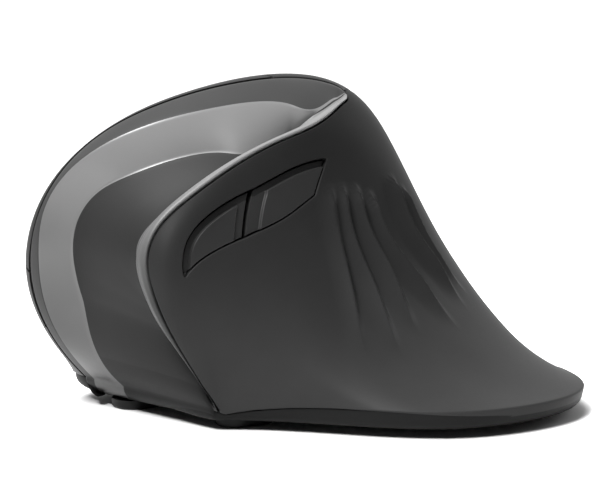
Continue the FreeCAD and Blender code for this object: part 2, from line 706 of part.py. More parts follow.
WORLD = FreeCAD.Placement()
UPSIDE_DOWN = FreeCAD.Placement(V(0, 0, 0), FreeCAD.Rotation(V(1, 0, 0), 180))


def base_screw_places():
    bosses = [hull_point(*THUMB_BOSS), hull_point(*PALM_BOSS)]
    return FRAME_SCREWS + [(point.x, point.y) for point in bosses]


def inner_frame():
    """The plate behind the side board, with two ribs down to a foot on the base."""
    plate = box_at(DECK, (-25, 5), (-14, 12.5), (-FRAME_DEPTH - 2, -FRAME_DEPTH))
    outside = box_at(DECK, (-80, 80), (-80, 80), (-FRAME_DEPTH - 1, 60))
    shape = plate
    for y in (18.0, 25.0):
        rib = Part.makeBox(20, 2, 26, V(13, y, CURB_TOP + 1))
        shape = shape.fuse(rib.cut(outside))
    shape = shape.fuse(Part.makeBox(20, 9, 2, V(13, 18, CURB_TOP)))
    for x, y in DECK_STANDOFFS:
        depth = FRAME_DEPTH - SIDE_BOARD_DEPTH - BOARD
        shape = shape.fuse(rod_at(DECK, 2.2, (x, y, -FRAME_DEPTH - 0.5), (0, 0, 1), depth + 0.5))
        shape = shape.cut(rod_at(DECK, 0.9, (x, y, -FRAME_DEPTH - 5), (0, 0, 1), 12))
    for x, y in FRAME_SCREWS:
        shape = shape.cut(Part.makeCylinder(1.0, 8, V(x, y, CURB_TOP - 1)))
    return shape


# ---------------------------------------------------------------- base
def outline(inset):
    """The shells' lower edge seen from above, drawn in by an inset, as a closed wire."""
    places = [(k / 30, 0) for k in range(30)] + [(1, k / 16) for k in range(16)]
    places += [(1 - k / 30, 1) for k in range(30)] + [(0, 1 - k / 12) for k in range(12)]
    points = [hull_point(*place) for place in places]
    points = [V(point.x, point.y, 0) for point in points]
    moved = []
    for k, point in enumerate(points):
        along = points[(k + 1) % len(points)] - points[k - 1]
        outward = V(-along.y, along.x, 0).normalize()
        inner = point - outward * inset
        nearest = min((inner - other).Length for other in points)
        far_enough = not moved or (inner - moved[-1]).Length > 1.0
        if nearest > 0.97 * inset and far_enough:
            moved.append(inner)
    if (moved[0] - moved[-1]).Length < 1.0:
        moved.pop()
    curve = Part.BSplineCurve()
    curve.interpolate(Points=moved, PeriodicFlag=True)
    return Part.Wire([curve.toShape()])


def lifted(wire, z):
    copy = wire.copy()
    copy.translate(V(0, 0, z))
    return copy


def slab(wire, low, high):
    return Part.Face(lifted(wire, low)).extrude(V(0, 0, high - low))


def battery_bay():
    """The bay's side walls and end walls, standing on the base."""
    half = BATTERY_RADIUS + 0.5
    rear = BATTERY_REAR - 4.2
    length = BATTERY_LENGTH + 6.9
    outer = Part.makeBox(2 * half + 2.4, length, 8, V(BATTERY_X - half - 1.2, rear, BASE_TOP - 1))
    inner = Part.makeBox(2 * half, length - 2.4, 10, V(BATTERY_X - half, rear + 1.2, BASE_TOP - 2))
    return outer.cut(inner)


def door_box(gap, length, thickness):
    """The battery door's outline; gap makes its recess."""
    return Part.makeBox(21 + 2 * gap, length, thickness,
                        V(BATTERY_X - 10.5 - gap, BATTERY_REAR - 4.4, BASE_BOTTOM))


def base_plate():
    edge = outline(BASE_INSET)
    bevel = Part.makeLoft([lifted(outline(BASE_INSET + BASE_BEVEL), BASE_BOTTOM),
                           lifted(edge, BASE_BOTTOM + BASE_BEVEL)], True, True)
    shape = slab(edge, BASE_BOTTOM + BASE_BEVEL, CURB_TOP)
    shape = shape.cut(slab(outline(BASE_INSET + CURB_WALL), BASE_TOP, CURB_TOP + 1))
    shape = shape.fuse(bevel)
    for shell in (thumb_panel(-WALL - 0.2, WALL), palm_panel(-WALL - 0.2, WALL),
                  rail_panel(-WALL - 0.2, WALL), nose_relief()):
        shape = shape.cut(shell)
    shape = max(shape.Solids, key=lambda solid: solid.Volume)
    shape = shape.fuse(battery_bay())
    for x, y in base_screw_places():
        pad = Part.makeCylinder(3.4, CURB_TOP - BASE_TOP + 0.5, V(x, y, BASE_TOP - 0.5))
        shape = shape.fuse(pad)
    for x, y in BOARD_POSTS:
        shape = shape.fuse(Part.makeCylinder(2.2, MAIN_BOARD_Z - BASE_TOP + 0.5,
                                             V(x, y, BASE_TOP - 0.5)))
        shape = shape.cut(Part.makeCylinder(0.85, 5, V(x, y, MAIN_BOARD_Z - 4.5)))
    half = BATTERY_RADIUS + 0.5
    bay = Part.makeBox(2 * half, BATTERY_LENGTH + 4.5, 4,
                       V(BATTERY_X - half, BATTERY_REAR - 3.0, BASE_BOTTOM))
    shape = shape.cut(bay)
    recess = door_box(DOOR_GAP, DOOR_LENGTH + DOOR_TRAVEL + 2 * DOOR_GAP, DOOR_THICKNESS + 0.1)
    recess.translate(V(0, -DOOR_TRAVEL - DOOR_GAP, -0.01))
    shape = shape.cut(recess)
    shape = shape.cut(Part.makeCylinder(5.2, 6, V(SENSOR_X, SENSOR_Y, 0)))
    slot = Part.makeBox(3.4 + POWER_TRAVEL, 3.4, 6, V(POWER_X - 1.7, POWER_Y - 1.7, 0))
    shape = shape.cut(slot)
    for x, y in base_screw_places():
        shape = shape.cut(Part.makeCylinder(2.5, 1.7, V(x, y, BASE_BOTTOM - 0.1)))
        shape = shape.cut(Part.makeCylinder(1.3, 8, V(x, y, BASE_BOTTOM)))
    return shape


def nose_relief():
    """Lowers the curb under the front trim, more towards the thumb side."""
    corners = [(-14, 4.3), (-7, 4.6), (34, 5.6), (52, 5.7), (52, 9), (-14, 9)]
    wire = Part.makePolygon([V(x, 26, z) for x, z in corners + corners[:1]])
    return Part.Face(wire).extrude(V(0, 20, 0))


def foot(x, y, width, length):
    pad = Part.makeBox(width, length, BASE_BOTTOM, V(x - width / 2, y - length / 2, 0))
    upright = [e for e in pad.Edges if abs(e.tangentAt(e.FirstParameter).z) > 0.9]
    pad = pad.makeFillet(0.45 * width, upright)
    return pad.makeChamfer(FOOT_BEVEL, [e for e in pad.Edges if e.BoundBox.ZMax < 0.01])


def battery_door():
    door = door_box(0, DOOR_LENGTH, DOOR_THICKNESS)
    for k in range(4):
        groove = Part.makeBox(9, 0.7, 0.4, V(BATTERY_X - 4.5, BATTERY_REAR + 0.5 + 1.6 * k,
                                             BASE_BOTTOM))
        door = door.cut(groove)
    return door


def battery():
    start = V(BATTERY_X, BATTERY_REAR, BATTERY_Z)
    can = Part.makeCylinder(BATTERY_RADIUS, BATTERY_LENGTH, start, V(0, 1, 0))
    can = can.makeFillet(0.6, [e for e in can.Edges if e.Closed and e.Length > 40])
    end = V(BATTERY_X, BATTERY_REAR + BATTERY_LENGTH - 0.5, BATTERY_Z)
    return can.fuse(Part.makeCylinder(2.75, BATTERY_NUB + 0.5, end, V(0, 1, 0)))


def battery_spring():
    """The negative contact: a plate with a short coil that presses on the can."""
    plate = Part.makeBox(9, 0.4, 8, V(BATTERY_X - 4.5, BATTERY_REAR - 2.9, BATTERY_Z - 4))
    helix = Part.makeHelix(0.9, 2.1, 2.8)
    wire_start = Part.makeCircle(0.25, V(2.8, 0, 0), V(0, 1, 0))
    coil = Part.Wire(helix.Edges).makePipeShell([Part.Wire([wire_start])], True, True)
    coil.rotate(V(0, 0, 0), V(1, 0, 0), -90)
    coil.translate(V(BATTERY_X, BATTERY_REAR - 2.4, BATTERY_Z))
    return plate.fuse(coil)


def battery_contact():
    y = BATTERY_REAR + BATTERY_LENGTH + BATTERY_NUB
    return Part.makeBox(8, 0.4, 8, V(BATTERY_X - 4, y + 0.1, BATTERY_Z - 4))


# ---------------------------------------------------------------- main board parts
def optical_sensor():
    return Part.makeBox(9.9, 12, 2.4, V(SENSOR_X - 4.95, SENSOR_Y - 6, MAIN_BOARD_Z + BOARD))


def sensor_lens():
    """A clear block under the board with a round window in the base's hole."""
    low = BASE_TOP + 0.1
    block = Part.makeBox(13, 15, MAIN_BOARD_Z - low, V(SENSOR_X - 6.5, SENSOR_Y - 7.5, low))
    window = Part.makeCylinder(4.9, 1.5, V(SENSOR_X, SENSOR_Y, low - 1.0))
    bore = Part.makeCylinder(2.4, 1.2, V(SENSOR_X, SENSOR_Y, low - 1.0))
    return block.fuse(window).cut(bore)


def radio_module():
    card = Part.makeBox(13, 17, 0.8, V(-7.5, -20.0, MAIN_BOARD_Z + BOARD))
    can = Part.makeBox(10, 11, 1.8, V(-6, -15.5, MAIN_BOARD_Z + BOARD + 0.5))
    return card.fuse(can)


def power_switch():
    body = Part.makeBox(9.4, 4.6, MAIN_BOARD_Z - 4.7, V(POWER_X - 3.2, POWER_Y - 2.3, 4.7))
    slot = Part.makeBox(1.4 + POWER_TRAVEL, 1.6, 1.6, V(POWER_X - 0.7, POWER_Y - 0.8, 4.6))
    return body.cut(slot)


def power_knob():
    knob = Part.makeBox(3.0, 3.0, 2.2, V(POWER_X - 1.5, POWER_Y - 1.5, 2.4))
    for k in (-1, 0, 1):
        groove = Part.makeBox(0.4, 3.2, 0.4, V(POWER_X + 0.9 * k - 0.2, POWER_Y - 1.6, 2.3))
        knob = knob.cut(groove)
    return knob.fuse(Part.makeBox(1.0, 1.2, 1.6, V(POWER_X - 0.5, POWER_Y - 0.6, 4.4)))


def ribbon(points, width, thickness):
    """A flat cable: a thin strip that follows points in the XZ plane, wide along Y."""
    edges = [Part.makeLine(V(*a), V(*b)) for a, b in zip(points, points[1:])]
    strip = Part.Wire(edges).extrude(V(0, width, 0))
    return strip.makeOffsetShape(thickness, 0.01, fill=True)


def side_ribbon():
    return ribbon([(9.6, -2, 9.8), (12.0, -2, 22.0), (17.5, -2, 30.0), (21.5, -2, 33.5)], 7, 0.4)


def thumb_ribbon():
    return ribbon([(-6.0, 13, 9.8), (-5.4, 13, 20.0), (-4.6, 13, 27.0), (-4.2, 13, 31.0)], 6, 0.4)


# ---------------------------------------------------------------- the whole mouse
def parts():
    nodes = {
        "thumb_shell": thumb_shell(),
        "palm_shell": palm_shell(),
        "front_trim": front_trim(),
        "finger_rail": rail_panel(-WALL, 0),
        "upper_button": upper_button(),
        "lower_button": lower_button(),
        "forward_button": forward_button(),
        "back_button": back_button(),
        "dpi_button": dpi_button(),
        "wheel_hub": wheel_hub(),
        "wheel_tyre": wheel_tyre(),
        "wheel_axle": wheel_axle(),
        "wheel_carrier": wheel_carrier(),
        "wheel_guides": wheel_guides(),
        "encoder_emitter": encoder_half(1),
        "encoder_detector": encoder_half(-1),
        "wheel_switch": tact_switch(DECK, -10.6, 0, SIDE_BOARD_DEPTH),
        "dpi_switch": tact_at(DECK, DPI_PLACE, SIDE_BOARD_DEPTH),
        "upper_switch": micro_body(UPPER_POST),
        "lower_switch": micro_body(LOWER_POST),
        "upper_plunger": micro_plunger(UPPER_POST),
        "lower_plunger": micro_plunger(LOWER_POST),
        "side_board": side_board(),
        "side_board_screws": screw_set(DECK, DECK_STANDOFFS, -SIDE_BOARD_DEPTH, 4, 1.9, 0.85),
        "inner_frame": inner_frame(),
        "thumb_board": thumb_board(),
        "forward_switch": tact_at(THUMB, FORWARD_STEM, THUMB_BOARD_DEPTH),
        "back_switch": tact_at(THUMB, BACK_STEM, THUMB_BOARD_DEPTH),
        "base_plate": base_plate(),
        "battery_door": battery_door(),
        "battery": battery(),
        "battery_spring": battery_spring(),
        "battery_contact": battery_contact(),
        "main_board": main_board(),
        "main_board_screws": screw_set(WORLD, BOARD_POSTS, MAIN_BOARD_Z + BOARD, 4, 1.8, 0.8),
        "optical_sensor": optical_sensor(),
        "sensor_lens": sensor_lens(),
        "radio_module": radio_module(),
        "power_switch": power_switch(),
        "power_knob": power_knob(),
        "side_ribbon": side_ribbon(),
        "thumb_ribbon": thumb_ribbon(),
    }
    for name, (x, y, width, length) in FEET.items():
        nodes[name] = foot(x, y, width, length)
    down = [(x, -y) for x, y in base_screw_places()]
    nodes["base_screws"] = screw_set(UPSIDE_DOWN, down, -BASE_BOTTOM - 1.5, 6, 2.3, 0.95)
    flip = THUMB.multiply(UPSIDE_DOWN)
    nodes["thumb_board_screws"] = screw_set(flip, [(x, -y) for x, y in THUMB_STANDOFFS],
                                            THUMB_BOARD_DEPTH + BOARD, 4, 1.7, 0.75)
    return nodes


def main():
    os.makedirs("parts", exist_ok=True)
    for name, shape in parts().items():
        shape.exportStep(os.path.join("parts", name + ".step"))


if __name__ == "__main__":
    main()
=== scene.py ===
import json
import math

import bpy
import numpy as np
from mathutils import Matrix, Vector


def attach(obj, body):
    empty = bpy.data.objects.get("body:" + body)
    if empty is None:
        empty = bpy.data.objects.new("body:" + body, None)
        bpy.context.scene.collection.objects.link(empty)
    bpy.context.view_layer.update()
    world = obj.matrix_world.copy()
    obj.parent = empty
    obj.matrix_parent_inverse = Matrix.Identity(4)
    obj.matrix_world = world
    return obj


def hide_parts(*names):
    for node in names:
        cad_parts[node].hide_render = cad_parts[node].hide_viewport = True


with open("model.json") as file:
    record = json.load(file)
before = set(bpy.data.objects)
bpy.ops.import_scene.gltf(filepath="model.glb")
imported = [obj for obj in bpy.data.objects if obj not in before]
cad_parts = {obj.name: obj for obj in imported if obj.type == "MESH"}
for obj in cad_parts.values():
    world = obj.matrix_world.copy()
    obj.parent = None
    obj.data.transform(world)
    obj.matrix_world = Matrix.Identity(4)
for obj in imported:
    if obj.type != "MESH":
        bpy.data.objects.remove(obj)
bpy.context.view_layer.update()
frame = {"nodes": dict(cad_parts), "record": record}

MM = 0.001
HULL_SHIFT = (1.5, 3.75, 0)     # millimetres, puts the origin under the middle of the body
WALL = 2.0 * MM                 # thickness of the outer shells
SEAM = 0.15 * MM                # half of the gap between neighbouring shells
TRIM_GAP = 0.35 * MM            # from the near rim's line to the thumb shell
SHELL_ROUND = 0.5 * MM          # radius along the shells' seams
LIP_ROUND = 0.45 * MM           # radius along the lip and the trim's edges
PALM_REAR_ROUND = 0.4 * MM

# ripples on the thumb side
RIPPLE_RISE = 4.5 * MM          # width of a pleat's gentle side
RIPPLE_FALL = 2.1 * MM          # width of its steep side
RIPPLE_MARGIN = 7 * MM          # how far from its line a pleat can matter
RIPPLE_END = 2.0 * MM           # how softly it stops beyond its line's ends

# thumb keys and their opening
KEY_GAP = 0.32 * MM
OPENING_ROUND = 0.30 * MM
OPENING_WALL = 1.5 * MM
WELL_DEPTH = 4.4 * MM
WELL_FLOOR = 1.6 * MM           # width of the ledge at the bottom of the well
KEY_ROUND = 0.22 * MM
KEY_DEPTH = 3.0 * MM
KEY_OVERRUN = 0.12 * MM         # the keys' facing ends run past their lines
KEY_SUNK = 0.1 * MM
KEY_LEDGE = 1.25 * MM
KEY_LEDGE_BLEND = 0.3 * MM
KEY_LEDGE_DEPTH = 0.75 * MM
KEY_STEP_BLEND = 0.45 * MM
KEY_STEP_DEPTH = 0.6 * MM
BACK_STEP = 2.8 * MM
FORWARD_STEP = 1.7 * MM

# front trim
DISH_DEPTH = 5.0 * MM
BOWL_DEPTH = 0.9 * MM
RING_WIDTH = 1.3 * MM
STRIP_SHARE = 0.45              # flat share of the band between the near rim and the hollow
EDGE_LIMIT = 0.6                # most of a narrow band that its rounded edge may take
CHIN = 4.2 * MM
CHIN_FOOT = 2.1 * MM

# wall under the lip
BASE_FOOT = 2.0 * MM
BASE_DROP = 0.12 * MM
TUCK = 2.4                      # millimetres that the wall's foot stands inside its top
CORNER_TUCK = 1.1               # extra share of that at the front corner of the finger side

CAMERA_AZIMUTH = 233
CAMERA_ELEVATION = 8
CAMERA_DISTANCE = 0.6
CAMERA_LENS = 167.8
CAMERA_TARGET = (0.0015, 0.00375, 0.033)
CAMERA_RIGHT = -0.00086
CAMERA_UP = 0.0015

BROAD_NOISE = 45
BUMP_DISTANCE = 0.00006

# ------------------------------------------------------------ the body's form
# lines from the thumb lip over the ridge to the finger lip; stations run tail to front
HULL_LINES = [
    [(-22, -55, 6), (-34, -51, 6), (-45, -42, 6), (-50.5, -25, 6), (-49, -6, 6),
     (-40, 5, 6), (-29, 13, 6), (-20, 19, 5.5), (-13.5, 24.5, 4.5), (-10.5, 28, 3.6)],
    [(-17, -56, 6), (-27, -51, 7), (-36, -38, 8), (-39, -22, 8), (-38, -4, 8.5),
     (-32, 8, 9), (-25, 16, 10), (-17.5, 22, 10), (-12.5, 27, 8.5), (-10, 28.6, 3.8)],
    [(-11, -56, 6), (-17, -50, 11), (-22, -36, 14), (-24, -19, 15), (-24, 0, 16),
     (-22, 13, 17), (-17.5, 22, 18), (-13.5, 28, 17), (-11.5, 30, 13), (-9.7, 29.2, 4)],
    [(-7, -57, 6), (-9, -50, 15), (-11, -36, 24), (-12.5, -19, 33), (-13, 2, 37),
     (-13, 17, 36), (-12.5, 28, 32), (-11.5, 36, 25), (-11, 34.5, 16.5), (-9.4, 29.8, 4.3)],
    [(-3, -58, 6), (-3, -50.5, 17), (-4, -35.5, 32), (-7, -22, 51), (-10, -2, 58),
     (-10, 18, 54), (-10, 33, 46), (-9.5, 44, 36), (-10, 40, 22), (-9, 30.4, 4.6)],
    [(1, -58, 6), (2, -51, 19), (3, -36, 38), (0, -23, 62), (-3, -5, 68),
     (-6, 17, 60.5), (-7, 36, 50), (-7, 47.5, 37), (-8, 43, 22), (-8.4, 31.2, 5)],
    [(8, -58, 6), (9, -52, 19), (12, -36, 41), (9, -26, 69), (10, -6, 74.7),
     (14, 16, 72), (21, 38, 65), (28.5, 56, 44), (32, 50.5, 19), (31.5, 35, 6)],
    [(13, -57, 6), (15, -51, 18), (19, -37, 39), (18, -25, 65), (20, -5, 70.5),
     (23, 16, 67.5), (29, 37, 59), (34.5, 52, 41), (36.5, 47.5, 19), (34.5, 35, 6)],
    [(19, -56, 6), (22, -51, 17), (28, -38, 32), (31, -24, 49), (34, -4, 53),
     (36, 14, 51), (38, 31, 45), (40, 44, 32), (39.5, 43, 18), (37, 34.5, 6)],
    [(26, -53, 6), (31, -48, 12), (39, -34, 21), (43, -19, 28), (45, -3, 31),
     (45, 12, 30), (44, 26, 26), (42.5, 36, 20), (41, 38, 12.5), (38.5, 34, 6)],
    [(30, -51, 6), (37, -44, 6), (43, -32, 6), (46, -18, 6), (47, -4, 6),
     (46, 10, 6), (44.5, 21, 6), (43, 29, 6.3), (41.5, 33, 7), (40, 33.5, 6)],
]
POLES = (np.array(HULL_LINES, float) + HULL_SHIFT).transpose(1, 0, 2) * MM


def basis(count, t):
    """Values of the clamped even cubic B-spline functions, one row for each t."""
    knots = np.concatenate([np.zeros(3), np.linspace(0, 1, count - 2), np.ones(3)])
    values = ((t[:, None] >= knots[:-1]) & (t[:, None] < knots[1:])).astype(float)
    last = np.nonzero(knots < 1)[0].max()
    values[t >= 1] = 0
    values[t >= 1, last] = 1
    for k in (1, 2, 3):
        low = knots[k:-1] - knots[:-k - 1]
        high = knots[k + 1:] - knots[1:-k]
        rise = (t[:, None] - knots[:-k - 1]) / np.where(low > 0, low, 1) * (low > 0)
        fall = (knots[k + 1:] - t[:, None]) / np.where(high > 0, high, 1) * (high > 0)
        values = rise * values[:, :-1] + fall * values[:, 1:]
    return values


def form(u, v):
    """Points of the body's form at places (u, v)."""
    u = np.clip(np.asarray(u, float), 0, 1)
    v = np.clip(np.asarray(v, float), 0, 1)
    u, v = np.broadcast_arrays(u, v)
    shape = u.shape
    across = basis(POLES.shape[1], v.ravel()).reshape(-1, POLES.shape[1], 1)
    along = basis(POLES.shape[0], u.ravel())
    rows = np.einsum("ni,ijk->njk", along, POLES)
    return (rows * across).sum(1).reshape(*shape, 3)


def slopes(u, v):
    """The form's two tangents at (u, v), per unit of u and of v."""
    step = 0.0005
    u0, u1 = np.clip(u - step, 0, 1), np.clip(u + step, 0, 1)
    v0, v1 = np.clip(v - step, 0, 1), np.clip(v + step, 0, 1)
    along = (form(u1, v) - form(u0, v)) / (u1 - u0)[..., None]
    across = (form(u, v1) - form(u, v0)) / (v1 - v0)[..., None]
    return along, across


def outward(u, v):
    along, across = slopes(u, v)
    normal = np.cross(across, along)
    return normal / np.maximum(np.linalg.norm(normal, axis=-1, keepdims=True), 1e-12)


def lifted(u, v, height):
    return form(u, v) + outward(u, v) * np.asarray(height)[..., None]


def shifted(places, vectors):
    """Places moved by 3-D vectors that lie in the form's tangent plane."""
    along, across = slopes(places[..., 0], places[..., 1])
    aa = (along * along).sum(-1)
    ab = (along * across).sum(-1)
    bb = (across * across).sum(-1)
    a = (vectors * along).sum(-1)
    b = (vectors * across).sum(-1)
    det = aa * bb - ab * ab
    return places + np.stack([(a * bb - b * ab) / det, (b * aa - a * ab) / det], -1)


# ------------------------------------------------------------ seams, as places (u, v)
def seam(points):
    """A natural cubic line through places: a function that gives a place for s from 0 to 1."""
    points = np.array(points, float)
    gaps = np.linalg.norm(np.diff(points, axis=0), axis=1)
    knots = np.concatenate([[0], np.cumsum(gaps)])
    count = len(points)
    system = np.zeros((count, count))
    right = np.zeros((count, 2))
    system[0, 0] = system[-1, -1] = 1
    for k in range(1, count - 1):
        system[k, k - 1] = gaps[k - 1]
        system[k, k] = 2 * (gaps[k - 1] + gaps[k])
        system[k, k + 1] = gaps[k]
        right[k] = 6 * ((points[k + 1] - points[k]) / gaps[k]
                        - (points[k] - points[k - 1]) / gaps[k - 1])
    bends = np.linalg.solve(system, right)

    def place(s):
        x = np.clip(np.asarray(s, float), 0, 1) * knots[-1]
        k = np.clip(np.searchsorted(knots, x, side="right") - 1, 0, count - 2)
        h = gaps[k][..., None]
        a = (knots[k + 1] - x)[..., None]
        b = (x - knots[k])[..., None]
        return ((bends[k] * a ** 3 + bends[k + 1] * b ** 3) / (6 * h)
                + (points[k] / h - bends[k] * h / 6) * a
                + (points[k + 1] / h - bends[k + 1] * h / 6) * b)
    return place


def line(start, end):
    start, end = np.array(start, float), np.array(end, float)

    def place(s):
        return start + (end - start) * np.asarray(s, float)[..., None]
    return place


def joined(first, second, share):
    def place(s):
        s = np.asarray(s, float)
        head = first(np.clip(s / share, 0, 1))
        tail = second(np.clip((s - share) / (1 - share), 0, 1))
        return np.where((s < share)[..., None], head, tail)
    return place


TONGUE_NEAR = (0.3625, 0.547)
TONGUE_FAR = (0.3625, 0.560)
RIM_REAR = (0.473, 0.613)
RIM_CLICKS = (0.903, 0.670)
RIM_LOW = (0.955, 0.680)

crest = seam([(0.0, 0.660), (0.150, 0.650), (0.270, 0.632), (0.330, 0.605),
              (0.351, 0.582), TONGUE_FAR])
near_rim = seam([TONGUE_NEAR, (0.3665, 0.533), (0.380, 0.517), (0.413, 0.485), (0.463, 0.455),
                 (0.540, 0.451), (0.608, 0.455), (0.713, 0.465), (0.797, 0.478),
                 (0.853, 0.475), (0.905, 0.458), (0.932, 0.448), (0.958, 0.430),
                 (0.978, 0.390), (0.990, 0.300), (1.0, 0.200)])
far_rim_upper = [TONGUE_FAR, (0.3665, 0.574), (0.388, 0.586), (0.432, 0.601), RIM_REAR]
far_rim_front = [RIM_REAR, (0.522, 0.625), (0.578, 0.638), (0.647, 0.650), (0.700, 0.664),
                 (0.755, 0.671), (0.807, 0.670), (0.860, 0.670)]
far_rim = seam(far_rim_upper + far_rim_front[1:] + [RIM_CLICKS]
               + [RIM_LOW, (0.980, 0.690), (1.0, 0.700)])
strip_edge = seam([(0.3645, 0.550), (0.374, 0.536), (0.386, 0.5245), (0.418, 0.4995),
                   (0.466, 0.4730),
                   (0.540, 0.4690), (0.603, 0.4750), (0.705, 0.4850), (0.802, 0.4990),
                   (0.858, 0.5020), (0.907, 0.4890), (0.935, 0.4790), (0.960, 0.456),
                   (0.979, 0.420), (0.990, 0.340), (1.0, 0.250)])
floor_near = seam([(0.3648, 0.5510), (0.3755, 0.5385), (0.388, 0.528), (0.420, 0.5025),
                   (0.468, 0.4820),
                   (0.540, 0.4780), (0.603, 0.4850), (0.705, 0.4960), (0.802, 0.5100),
                   (0.858, 0.5130), (0.907, 0.5010), (0.935, 0.4920), (0.960, 0.470),
                   (0.979, 0.437), (0.990, 0.365), (1.0, 0.280)])
floor_far = seam([(0.365, 0.552), (0.377, 0.5405), (0.390, 0.531), (0.422, 0.5055),
                  (0.458, 0.4885), (0.490, 0.4845), (0.535, 0.486), (0.578, 0.502), (0.602, 0.526),
                  (0.652, 0.556),
                  (0.743, 0.592), (0.782, 0.610), (0.840, 0.618), (0.912, 0.610),
                  (0.960, 0.606), (1.0, 0.598)])
dish_edge = seam([(0.3652, 0.553), (0.3785, 0.5425), (0.392, 0.534), (0.424, 0.5095),
                  (0.452, 0.501), (0.466, 0.509), (0.480, 0.528), (0.515, 0.557),
                  (0.593, 0.583), (0.698, 0.615), (0.748, 0.635),
                  (0.787, 0.649), (0.830, 0.653), (0.883, 0.640), (0.917, 0.640),
                  (0.960, 0.648), (1.0, 0.655)])


# ------------------------------------------------------------ grids and meshes
def roll(radius, depth, steps=6):
    """A rounded edge: (distance in from the edge, height) from the wall's foot to the top."""
    rows = [(0, -depth), (0, -(depth + radius) / 2)]
    for k in range(steps + 1):
        angle = math.pi / 2 * k / steps
        rows.append((radius * (1 - math.cos(angle)), -radius * (1 - math.sin(angle))))
    return rows


def speed(near, far, s, t, along):
    """Metres on the form per unit of s (or of t)."""
    step = 0.004
    ds, dt = (step, 0) if along else (0, step)

    def point(s, t):
        s = np.clip(s, 0, 1)
        a, b = near(s), far(s)
        place = a + (b - a) * np.clip(t, 0, 1)[..., None]
        return form(place[..., 0], place[..., 1])
    sign_s = np.where(s + ds > 1, -1, 1)
    sign_t = np.where(t + dt > 1, -1, 1)
    there = point(s + ds * sign_s, t + dt * sign_t)
    return np.maximum(np.linalg.norm(there - point(s, t), axis=-1) / step, MM)


def stations(first, last, shares):
    """Rows across a panel: (kind, distance or share, height), its rolled edges included."""
    inner = shares[1 if first else 0:-1 if last else None]
    rows = [("first", distance, height) for distance, height in (first[2] if first else [])]
    rows += [("mid", share, 0.0) for share in inner]
    rows += [("last", distance, height)
             for distance, height in reversed(last[2] if last else [])]
    return rows


def spread(rows, first, last, first_gap, last_gap, first_speed, last_speed):
    """Each row's share across the panel, from gaps and distances in metres."""
    low = (first_gap + first[2][-1][0]) / first_speed if first else 0 * first_speed
    high = 1 - (last_gap + last[2][-1][0]) / last_speed if last else 1 + 0 * last_speed
    shares = []
    for kind, x, _ in rows:
        if kind == "first":
            shares.append((first_gap + x) / first_speed)
        elif kind == "last":
            shares.append(1 - (last_gap + x) / last_speed)
        else:
            shares.append(low + (high - low) * x)
    return np.array(shares)


def panel_places(near, far, rear, front, near_edge, far_edge, shares, cols):
    """Places and edge heights of a panel.

    Each edge is (gap at its start, gap at its end, roll rows) or None for a plain edge.
    """
    tags = stations(near_edge, far_edge, np.linspace(0, 1, cols))
    marks = stations(rear, front, shares)
    ends = {"first": 0.0, "last": 1.0}
    nominal = np.array([ends.get(kind, x) for kind, x, _ in tags])
    rear_speed = speed(near, far, 0 * nominal, nominal, True)
    front_speed = speed(near, far, 1 + 0 * nominal, nominal, True)
    s = spread(marks, rear, front, rear[0] if rear else 0, front[0] if front else 0,
               rear_speed, front_speed)
    edge_near = speed(near, far, s[:, 0], np.zeros(len(s)), False)
    edge_far = speed(near, far, s[:, -1], np.ones(len(s)), False)

    def gap(edge):
        return edge[0] + (edge[1] - edge[0]) * s[:, 0] if edge else 0
    t = spread(tags, near_edge, far_edge, gap(near_edge), gap(far_edge), edge_near, edge_far).T
    height = np.minimum(np.array([h for _, _, h in marks])[:, None],
                        np.array([h for _, _, h in tags])[None, :])
    a, b = near(s), far(s)
    return a + (b - a) * t[..., None], height


def grid_faces(rows, cols):
    index = np.arange(rows * cols).reshape(rows, cols)
    return np.stack([index[:-1, :-1], index[:-1, 1:], index[1:, 1:], index[1:, :-1]],
                    -1).reshape(-1, 4)


def add_piece(name, points, faces, body, material, replaces=()):
    mesh = bpy.data.meshes.new(name)
    mesh.from_pydata(points.reshape(-1, 3).tolist(), [], faces.tolist())
    mesh.shade_smooth()
    mesh.materials.append(material)
    piece = bpy.data.objects.new(name, mesh)
    bpy.context.scene.collection.objects.link(piece)
    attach(piece, body)
    if replaces:
        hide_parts(*replaces)
    return piece


def smooth_step(x, low, high):
    x = np.clip((x - low) / (high - low), 0, 1)
    return x * x * (3 - 2 * x)


# ------------------------------------------------------------ materials
made_materials = {}


